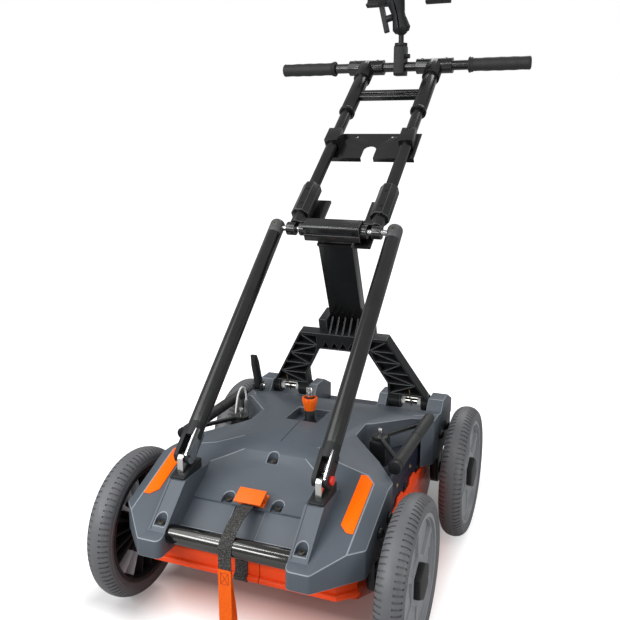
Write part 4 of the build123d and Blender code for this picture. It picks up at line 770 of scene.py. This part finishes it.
class CART_OT_straps(bpy.types.Operator):
    """Weave the lift strap, the strap tail and the pull loop, and dress the buckle"""

    bl_idname = "cart.straps"
    bl_label = "Straps and buckle"

    BAR = Vector((-0.536304, 0.23))
    BAR_RADIUS = 0.0175
    BUCKLE_TO_BAR = [(-0.4395, 0.2772), (-0.4452, 0.2752), (-0.454, 0.2735), (-0.468, 0.2728),
                     (-0.486, 0.2718), (-0.506, 0.268), (-0.523, 0.261)]
    TAIL_HEIGHTS = (0.222, 0.212, 0.2, 0.19)
    LOOP_DEPTH = 0.02
    LOOP_TOP = 0.1955
    LOOP_FRONT_HEIGHTS = (LOOP_TOP, 0.186, 0.15, 0.1, 0.066)
    LOOP_FOLD_HEIGHT = 0.057
    LOOP_FOLD_DROP = 0.009
    LIFT_HEIGHTS = (0.162, 0.175, 0.194, 0.214)
    SEWN_LOW = 0.1686
    SEWN_HIGH = 0.1898
    SEWN_INSET = 0.005
    THREAD_RADIUS = 0.0004

    # Clearances between the straps and what they lie on.
    OFF_BAR = 0.0003
    OFF_STRAP = 0.0001
    OFF_TRAY = 0.0001
    OFF_RIM = 0.0002
    OFF_LOOP = 0.0002

    def execute(self, context):
        width = sizes().webbing_width
        thickness = sizes().webbing_thickness
        wrap = self.BAR_RADIUS + thickness / 2 + self.OFF_BAR
        hang = self.BAR.x - wrap
        tail = self.BUCKLE_TO_BAR + arc(self.BAR, wrap, wrap, range(110, 181, 10))
        tail += [(hang, z) for z in self.TAIL_HEIGHTS]
        piece, length = ribbon("strap_tail_webbing", tail, width, thickness)
        settle(piece, "webbing", "cart", "strap_tail")
        front = hang - thickness - self.OFF_STRAP
        back = hang + thickness + self.OFF_STRAP
        piece, length = ribbon("pull_loop_webbing", self.loop_route(front, back), width, thickness)
        settle(piece, "loop", "cart", "pull_loop")
        self.stitch(front - thickness / 2 - self.OFF_LOOP, width / 2 - self.SEWN_INSET)
        face = TRAY_FRONT - thickness / 2 - self.OFF_TRAY
        hug = TRAY_RIM_RADIUS + thickness / 2 + self.OFF_RIM
        lift = [(face + 0.036, 0.1295), (face + 0.022, 0.135), (face + 0.01, 0.139)]
        lift += arc((TRAY_FRONT, TRAY_RIM_HEIGHT), hug, hug, range(255, 119, -15))
        lift += [(face - 0.0012, 0.157)] + [(face, z) for z in self.LIFT_HEIGHTS]
        piece, length = ribbon("lift_strap_webbing", lift, width, thickness)
        settle(piece, "webbing", "antenna", "lift_strap")
        rounded("buckle_frame", "buckle_base", 0.0006)
        rounded("buckle_lever", "buckle_lid", 0.0009, 3)
        return {"FINISHED"}

    def loop_route(self, front, back):
        """Down the front of the strap tail, round a fold, and up behind the tail."""
        far = front + self.LOOP_DEPTH
        half = self.LOOP_DEPTH / 2
        fold = arc((front + half, self.LOOP_FOLD_HEIGHT), half, self.LOOP_FOLD_DROP, range(180, 361, 30))
        return [(front, z) for z in self.LOOP_FRONT_HEIGHTS] + fold + [
            (far, 0.07), (far, 0.085), (far - 0.001, 0.095), (far - 0.004, 0.12), (back + 0.004, 0.16),
            (back + 0.001, 0.172), (back, 0.18), (back, 0.188), (back, self.LOOP_TOP)]

    def stitch(self, y, half):
        """Sew a box and a cross of thread on the front of the pull loop."""
        corners = [(x, y, z) for x, z in ((-half, self.SEWN_LOW), (half, self.SEWN_LOW),
                                          (half, self.SEWN_HIGH), (-half, self.SEWN_HIGH))]
        runs = [corners + corners[:1], corners[0::2], corners[3::-2]]
        piece = drawn("loop_stitching", "POLY", self.THREAD_RADIUS, 1, runs)
        bpy.ops.object.convert(target="MESH")
        settle(piece, "loop", "cart", finish="thread")


class CART_OT_cover(bpy.types.Operator):
    """Round the moulded cover's edges and dress its bolts, its reflectors and the front bar"""

    bl_idname = "cart.cover"
    bl_label = "Top cover"

    DOME = [(0, 0), (0, 0.0118), (0.0014, 0.012), (0.0022, 0.0102), (0.005, 0.0096),
            (0.0078, 0.0074), (0.0092, 0.0044), (0.0092, 0)]
    FENDER = 0.236
    DOME_SHIFTS = (-0.03, 0.03)
    DOME_HEIGHT = 0.247
    NOSE = Vector((0.119, -0.574304))
    NOSE_ROUND = 0.011
    NEAR = 0.0005

    def execute(self, context):
        edged("top_cover", "moulded_cover", sizes().cover_edge, "cover_edge", self.round_noses)
        rounded("side_reflectors", "reflector_strips", 0.0004)
        rounded("cover_bolts", "cover_screws", 0.0006, finish="bolt")
        rounded("front_bar", "front_tube", 0.0006, finish="polished_tube")
        for side in SIDES.values():
            for axle in AXLES.values():
                for shift in self.DOME_SHIFTS:
                    spot = (side * self.FENDER, axle + shift, self.DOME_HEIGHT)
                    settle(turned("fender_dome", self.DOME, 24, (side, 0, 0), spot), "black_steel", "cart")
        return {"FINISHED"}

    def round_noses(self, piece):
        """Round the upright inner edge at the front of each nose."""
        def on_nose(edge):
            ends = [piece.data.vertices[corner].co for corner in edge.vertices]
            return all((Vector((abs(end.x), end.y)) - self.NOSE).length < self.NEAR for end in ends)

        mark(piece, "EDGE", on_nose)
        bpy.ops.mesh.bevel(offset=self.NOSE_ROUND, segments=6, affect="EDGES")
        mode("OBJECT")


class CART_OT_chassis(bpy.types.Operator):
    """Dress the chassis, the antenna tray and what they carry inside"""

    bl_idname = "cart.chassis"
    bl_label = "Chassis and tray"

    PLATE = 0.205
    INSERTS = [(-0.193304, 0.228), (-0.088304, 0.226)]
    SCREWS = [(-0.236304, 0.1995), (-0.134304, 0.1995), (-0.032304, 0.1995)]
    RING = [(0, 0.0027), (0.0008, 0.0027), (0.0012, 0.0031), (0.0012, 0.0052), (0.0008, 0.0056),
            (0, 0.0056)]
    SCREW = [(0, 0), (0, 0.0078), (0.0012, 0.0078), (0.0016, 0.0062), (0.004, 0.0058),
             (0.0048, 0.0048), (0.0048, 0.0026), (0.0028, 0.0024), (0.0028, 0)]

    def execute(self, context):
        rounded("chassis_frame", "painted_chassis", 0.0015)
        for side in SIDES.values():
            for spot in self.INSERTS:
                ring = turned("brass_insert", self.RING, 24, (side, 0, 0), (side * self.PLATE, *spot))
                settle(ring, "steel", "cart", finish="brass")
            for spot in self.SCREWS:
                screw = turned("rim_screw", self.SCREW, 20, (side, 0, 0), (side * self.PLATE, *spot))
                settle(screw, "black_steel", "cart")
        rounded("antenna_tray", "moulded_tray", 0.0025, 3)
        self.tray_rim()
        rounded("wheel_brackets", "cast_brackets", 0.0015)
        rounded("axle_studs", "axle_pins", 0.0008)
        rounded("wheel_encoder", "encoder_case", 0.0012)
        rounded("cable_boot", "lead_boot", 0.0008)
        paint("control_unit", "battery_pack", "antenna_modules")
        return {"FINISHED"}

    def tray_rim(self):
        """Draw the rolled rim round the lower front edge of the tray."""
        route = [(-x, y) for x, y in reversed(TRAY_RIM)] + TRAY_RIM
        run = [(x, y, TRAY_RIM_HEIGHT) for x, y in route]
        piece = drawn("tray_rim", "POLY", TRAY_RIM_RADIUS, 5, [run], capped=True)
        bpy.ops.object.convert(target="MESH")
        settle(piece, "tray", "antenna")


class CART_OT_wheels(bpy.types.Operator):
    """Make the grooved tyres and dress the rims and hub caps"""

    bl_idname = "cart.wheels"
    bl_label = "Wheels"

    SIDE = [(-0.022, 0.12), (-0.0238, 0.1225), (-0.025, 0.1256), (-0.0252, 0.1288), (-0.026, 0.1296),
            (-0.026, 0.1316), (-0.0253, 0.1326), (-0.0254, 0.1366), (-0.024, 0.1402), (-0.021, 0.144),
            (-0.0175, 0.147), (-0.0135, 0.1494), (-0.0095, 0.1507), (-0.0085, 0.1508), (-0.005, 0.1517)]

    # One pitch of the tread is spun in three steps, and the last of them becomes the groove.
    PITCH_SHARES = (0.34, 0.34, 0.32)
    LAST_STEP = 0.05
    GROOVE_START = 0.0088
    GROOVE_END = 0.0235
    GROOVE_RADIUS = 0.14
    PITCH_SEAM = 0.00002

    def execute(self, context):
        tread = self.tyre()
        for row, y in AXLES.items():
            for side, sign in SIDES.items():
                name = f"{row}_{side}"
                tyre = added(f"{name}_grooved_tyre", tread.data.copy())
                tyre.data.transform(Matrix.Translation((sign * HALF_TRACK, y, WHEEL_RADIUS)))
                settle(tyre, "tyre", f"{name}_wheel", f"{name}_tyre", smooth=28.0)
                rounded(f"{name}_rim", f"{name}_wheel_disc", 0.0012)
                rounded(f"{name}_hub_cap", f"{name}_wheel_cap", 0.001)
        bpy.data.objects.remove(tread)
        return {"FINISHED"}

    def tyre(self):
        """One tyre at the origin: one pitch of tread with its grooves, repeated round the axle."""
        count = sizes().groove_count
        pitch = FULL_TURN / count
        profile = self.SIDE + [(0.0, WHEEL_RADIUS)] + [(-x, r) for x, r in reversed(self.SIDE)]
        piece = half_section("tread_pattern", profile, closed=True)
        for share in self.PITCH_SHARES:
            bpy.ops.mesh.spin(steps=1, angle=pitch * share, axis=(1, 0, 0))
        edit_all()
        bpy.ops.mesh.normals_make_consistent(inside=False)
        mode("OBJECT")

        def angle(face):
            return abs(math.atan2(face.center.y, face.center.z))

        last = max(map(angle, piece.data.polygons)) - pitch * self.LAST_STEP
        mark(piece, "FACE", lambda face: angle(face) > last
             and self.GROOVE_START < abs(face.center.x) < self.GROOVE_END
             and face.center.yz.length > self.GROOVE_RADIUS)
        bpy.ops.mesh.extrude_region_shrink_fatten(
            TRANSFORM_OT_shrink_fatten={"value": -sizes().groove_depth})
        mode("OBJECT")
        bpy.ops.object.empty_add(rotation=(pitch, 0, 0))
        turn = bpy.context.object
        take(piece)
        modify(piece, "ARRAY", "Round the axle", count=count, use_relative_offset=False,
               use_object_offset=True, offset_object=turn, use_merge_vertices=True,
               use_merge_vertices_cap=True, merge_threshold=self.PITCH_SEAM)
        bpy.data.objects.remove(turn)
        weld(self.PITCH_SEAM)
        return piece


class CART_OT_struts(bpy.types.Operator):
    """Dress the strut feet, their tongues and the two struts"""

    bl_idname = "cart.struts"
    bl_label = "Struts"

    HALF_SPAN = 0.138
    FOOT = Vector((-0.446904, 0.3419))
    LENGTH = (FOOT - SHAFT).length
    ALONG = (FOOT - SHAFT) / LENGTH
    OUT = Vector((ALONG.y, -ALONG.x))
    DOME = [(-0.008, 0), (-0.008, 0.017), (-0.0105, 0.0167), (-0.013, 0.0158), (-0.0155, 0.014),
            (-0.0175, 0.0116), (-0.019, 0.0084), (-0.0198, 0.0045), (-0.02, 0)]
    SCREW = [(0, 0), (0, 0.0053), (0.0021, 0.0053), (0.0026, 0.0048), (0.0026, 0.0026),
             (0.0008, 0.0024), (0.0008, 0)]
    SCREW_RISE = 0.0141

    # Where the finishes change: down from the shaft, up from the foot, and out from the middle.
    EYE_END = 0.0199
    FORK_TOP = 0.0659
    PIN_HEAD = (0.1531, 0.0085)
    PIN_TAIL = (0.1232, 0.0055)
    # The steel strip along the fork's front edge is a painted highlight.
    PAINTED_HIGHLIGHT_EDGE = (0.0062, 0.0105)
    PAINTED_HIGHLIGHT_RISE = 0.0135
    PAINTED_HIGHLIGHT_TOP = 0.038

    def execute(self, context):
        rounded("strut_feet", "foot_wedges", 0.0012)
        rounded("strut_tongues", "polished_tongues", 0.0008)
        for side, sign in SIDES.items():
            x = sign * self.HALF_SPAN
            self.colour(self.strut(side, x), x)
            face = SHAFT + self.OUT * self.SCREW_RISE
            screw = turned("eye_screw", self.SCREW, 24, (0, *self.OUT), (x, *face))
            settle(screw, "black_steel", f"{side}_strut", finish="bolt")
        return {"FINISHED"}

    def strut(self, side, x):
        """One strut, its eye closed by a dome above the shaft, and its fork cut where a painted highlight
        runs along its edge.
        """
        node = f"{side}_strut"
        piece = merged_copy(node, f"{side}_tube_strut")
        edit_all()
        bpy.ops.mesh.bisect(plane_co=(0, *(SHAFT + self.ALONG * self.DOME[0][0])),
                            plane_no=(0, *-self.ALONG), use_fill=True, clear_outer=True)
        edit_all()
        bpy.ops.mesh.bisect(plane_co=(x + self.PAINTED_HIGHLIGHT_EDGE[1], 0, 0), plane_no=(1, 0, 0))
        mode("OBJECT")
        dome = turned("eye_dome", self.DOME, 32, (0, *self.ALONG), (x, *SHAFT))
        take(piece)
        dome.select_set(True)
        bpy.ops.object.join()
        round_edges(piece, 0.0008, 2, "MITER_SHARP")
        return settle(piece, slot_of(node), body_of(node), node)

    def colour(self, strut, x):
        """Give the eye, the fork and its pin their own finishes, and paint a highlight in steel along the
        fork's edge.
        """
        def down(spot):
            return (spot.yz - SHAFT).dot(self.ALONG)

        def from_pin(spot):
            return (spot.yz - self.FOOT).length

        def on_painted_highlight(spot):
            return (self.PAINTED_HIGHLIGHT_EDGE[0] < spot.x - x < self.PAINTED_HIGHLIGHT_EDGE[1]
                    and (spot.yz - SHAFT).dot(self.OUT) > self.PAINTED_HIGHLIGHT_RISE
                    and down(spot) > self.LENGTH - self.PAINTED_HIGHLIGHT_TOP)

        head, head_radius = self.PIN_HEAD
        tail, tail_radius = self.PIN_TAIL
        tint(strut, "eye", lambda spot: down(spot) < self.EYE_END)
        tint(strut, "black_plastic", lambda spot: down(spot) > self.LENGTH - self.FORK_TOP)
        tint(strut, "red", lambda spot: abs(spot.x) > head and from_pin(spot) < head_radius)
        tint(strut, "steel", lambda spot: abs(spot.x) < tail and from_pin(spot) < tail_radius)
        # Painted highlight: a strip of steel on the black fork's front edge.
        tint(strut, "steel", on_painted_highlight)


class CART_OT_rear_frame(bpy.types.Operator):
    """Dress the rear bridge, its hinge and the column"""

    bl_idname = "cart.rear_frame"
    bl_label = "Rear frame"

    SCREW = [(0, 0), (0, 0.004), (0.0009, 0.004), (0.0012, 0.0036), (0.0012, 0.003),
             (0.0002, 0.0026), (0.0002, 0)]
    SCREW_SPOTS = [Vector((x, -0.0195, 0.006)) for x in (-0.053, 0.053)]
    LEAN = Matrix.Rotation(math.radians(23.8), 3, "X")
    PIN_AXIS = Vector((0.103696, 0.306))
    PIN_RADIUS = 0.0082

    def execute(self, context):
        edged("rear_bridge", "ribbed_bridge", 0.0009, "black_edge_highlight")
        rounded("column", "column_shell", 0.0015)
        edged("hinge_block", "hinge_casting", 0.0009, "black_edge_highlight")
        # Two screw-shaped discs in the block's face, painted near-black: painted shade for holes.
        for spot in self.SCREW_SPOTS:
            screw = turned("block_screw", self.SCREW, 20, self.LEAN @ Vector((0, -1, 0)),
                           Vector((0, *SHAFT)) + self.LEAN @ spot)
            settle(screw, "black_plastic", "frame", finish="hole")
        rounded("hinge_shaft", "hinge_rod", 0.0006)
        rounded("hinge_bushes", "white_bushes", 0.0006)
        pins = rounded("hinge_pins", "bright_hinge_pins", 0.0003)
        tint(pins, "brass", lambda spot: (spot.yz - self.PIN_AXIS).length > self.PIN_RADIUS)
        return {"FINISHED"}


class CART_OT_handle(bpy.types.Operator):
    """Dress the push handle from its sockets to the bar"""

    bl_idname = "cart.handle"
    bl_label = "Push handle"

    BAR = Vector((0, 0.491425, 1.105694))
    UP = Vector((0, -0.5, 0.866))
    SCREW_RISE = 0.0192
    SCREW_X = (-0.126, -0.062, 0.062, 0.126)
    SCREW = [(0, 0), (0, 0.0042), (0.0016, 0.0042), (0.002, 0.0038), (0.002, 0.0022),
             (0.0008, 0.002), (0.0008, 0)]
    GRIP_COLLAR = [(0.184, 0), (0.184, 0.0182), (0.1852, 0.0198), (0.187, 0.0204), (0.1886, 0.02),
                   (0.1896, 0.0184), (0.1905, 0.018), (0.1916, 0.019), (0.1932, 0.0192), (0.1944, 0.018)]
    GRIP_END = [(0.3375, 0.0172), (0.3402, 0.016), (0.3416, 0.0135), (0.342, 0.009), (0.342, 0)]
    SLEEVE_START = 0.197
    SLEEVE_LENGTH = 0.137
    SLEEVE_RADIUS = 0.0164
    SLEEVE_STEPS = 28
    SLEEVE_WAVES = 4
    WAVE_HEIGHT = 0.00035
    SWELL_HEIGHT = 0.0006

    def execute(self, context):
        edged("handle_sockets", "socket_castings", 0.0009, "black_edge_highlight")
        rounded("inner_tubes", "sliding_tubes", 0.0005)
        rounded("accessory_plate", "folded_plate", 0.0006)
        rounded("outer_tubes", "outer_sleeves", 0.0008)
        rounded("crossbar", "cross_rails", 0.0012)
        rounded("t_clamps", "bar_clamps", 0.0015)
        for x in self.SCREW_X:
            spot = Vector((x, *self.BAR.yz)) + self.UP * self.SCREW_RISE
            screw = turned("clamp_screw", self.SCREW, 20, self.UP, spot)
            settle(screw, "black_steel", "handle_upper", finish="bolt")
        rounded("handlebar", "bar_tube", 0.0005)
        for side, sign in SIDES.items():
            grip = turned(f"{side}_grip", self.grip_profile(), 40, (sign, 0, 0), self.BAR)
            settle(grip, "grip", "handle_upper", "grips")
        return {"FINISHED"}

    def grip_profile(self):
        """Half section of a grip: a ring collar, then a sleeve with shallow finger waves and a round end."""
        sleeve = []
        for step in range(self.SLEEVE_STEPS + 1):
            share = step / self.SLEEVE_STEPS
            wave = math.cos(share * self.SLEEVE_WAVES * FULL_TURN) * self.WAVE_HEIGHT
            swell = math.sin(share * math.pi) * self.SWELL_HEIGHT
            sleeve.append((self.SLEEVE_START + self.SLEEVE_LENGTH * share, self.SLEEVE_RADIUS + wave + swell))
        return self.GRIP_COLLAR + sleeve + self.GRIP_END


class CART_OT_tablet_mount(bpy.types.Operator):
    """Dress the ball mount and the tablet holder"""

    bl_idname = "cart.tablet_mount"
    bl_label = "Tablet mount"

    def execute(self, context):
        rounded("claw_clamp", "claw_casting", 0.0012)
        rounded("socket_arm", "arm_castings", 0.0012)
        rounded("t_knob", "wing_knob", 0.0015)
        rounded("holder_body", "holder_moulding", 0.0012)
        rounded("holder_jaw", "jaw_moulding", 0.0012)
        return {"FINISHED"}


class CART_OT_fittings(bpy.types.Operator):
    """Dress the pole socket, the carry bars and the brake lever"""

    bl_idname = "cart.fittings"
    bl_label = "Side fittings and pole socket"

    NUT = [(0, 0), (0, 0.0085), (0.001, 0.0087), (0.0014, 0.007), (0.0014, 0.0062),
           (0.0048, 0.0058), (0.0054, 0.005), (0.0054, 0.003), (0.0044, 0.0026), (0.0044, 0)]
    NUT_SPOT = (-0.2081, 0.044696, CARRY_BAR_HEIGHT)
    POST_TOP = 0.3811
    BRACKET_BOLT = Vector((0.16, -0.172304))
    BOLT_RADIUS = 0.0053
    CARRY_BAR_X = 0.229
    SLEEVES = [(-0.289, -0.15), (-0.147, -0.03)]

    def execute(self, context):
        post = rounded("socket_post", "pole_post", 0.0006)
        tint(post, "steel", lambda spot: spot.z > self.POST_TOP)
        rounded("socket_collar", "fluted_collar", 0.0005)
        brackets = rounded("side_brackets", "carry_brackets", 0.001)
        tint(brackets, "steel", lambda spot: (
            Vector((abs(spot.x), spot.y)) - self.BRACKET_BOLT).length < self.BOLT_RADIUS)
        rounded("left_carry_handle", "left_carry_bar", 0.001)
        rounded("right_carry_handle", "right_carry_bar", 0.001)
        rounded("brake_lever", "brake_pedal", 0.0015)
        for side in SIDES.values():
            for start, end in self.SLEEVES:
                sleeve = turned("ringed_sleeve", self.sleeve_profile(end - start), 28, (0, 1, 0),
                                (side * self.CARRY_BAR_X, start, CARRY_BAR_HEIGHT))
                settle(sleeve, "black_steel", "cart", finish="sleeve")
        settle(turned("brake_nut", self.NUT, 24, (1, 0, 0), self.NUT_SPOT), "steel", "cart")
        return {"FINISHED"}

    def sleeve_profile(self, length):
        """Half section of a soft sleeve on a carry bar, with rounded ends."""
        bore, end, skin, curve = 0.0109, 0.0114, 0.012, 0.0012
        return [(0.0, bore), (0.0, end), (curve, skin), (length - curve, skin), (length, end), (length, bore)]


OPERATORS = (CART_OT_stage, CART_OT_lead, CART_OT_straps, CART_OT_cover, CART_OT_chassis, CART_OT_wheels,
             CART_OT_struts, CART_OT_rear_frame, CART_OT_handle, CART_OT_tablet_mount, CART_OT_fittings)


class CART_PT_panel(bpy.types.Panel):
    """Lists the cart's pieces and the studio"""

    bl_label = "Push cart"
    bl_idname = "CART_PT_panel"
    bl_space_type = "VIEW_3D"
    bl_region_type = "UI"
    bl_category = "Push cart"

    def draw(self, context):
        for operator in OPERATORS:
            self.layout.operator(operator.bl_idname)
        for group in (context.scene.cart_sizes, context.scene.cart_colours):
            for key in group.__annotations__:
                self.layout.prop(group, key)


CLASSES = (CartColours, CartSizes, *OPERATORS, CART_PT_panel)


def register():
    """Register the classes and hang the settings on the scene."""
    for cls in CLASSES:
        bpy.utils.register_class(cls)
    bpy.types.Scene.cart_colours = PointerProperty(type=CartColours)
    bpy.types.Scene.cart_sizes = PointerProperty(type=CartSizes)


def unregister():
    """Take the settings and the classes away again."""
    del bpy.types.Scene.cart_sizes
    del bpy.types.Scene.cart_colours
    for cls in reversed(CLASSES):
        bpy.utils.unregister_class(cls)


def main():
    """Dress the cart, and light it."""
    register()
    for operator in OPERATORS:
        group, name = operator.bl_idname.split(".")
        getattr(getattr(bpy.ops, group), name)()


if __name__ == "__main__":
    main()
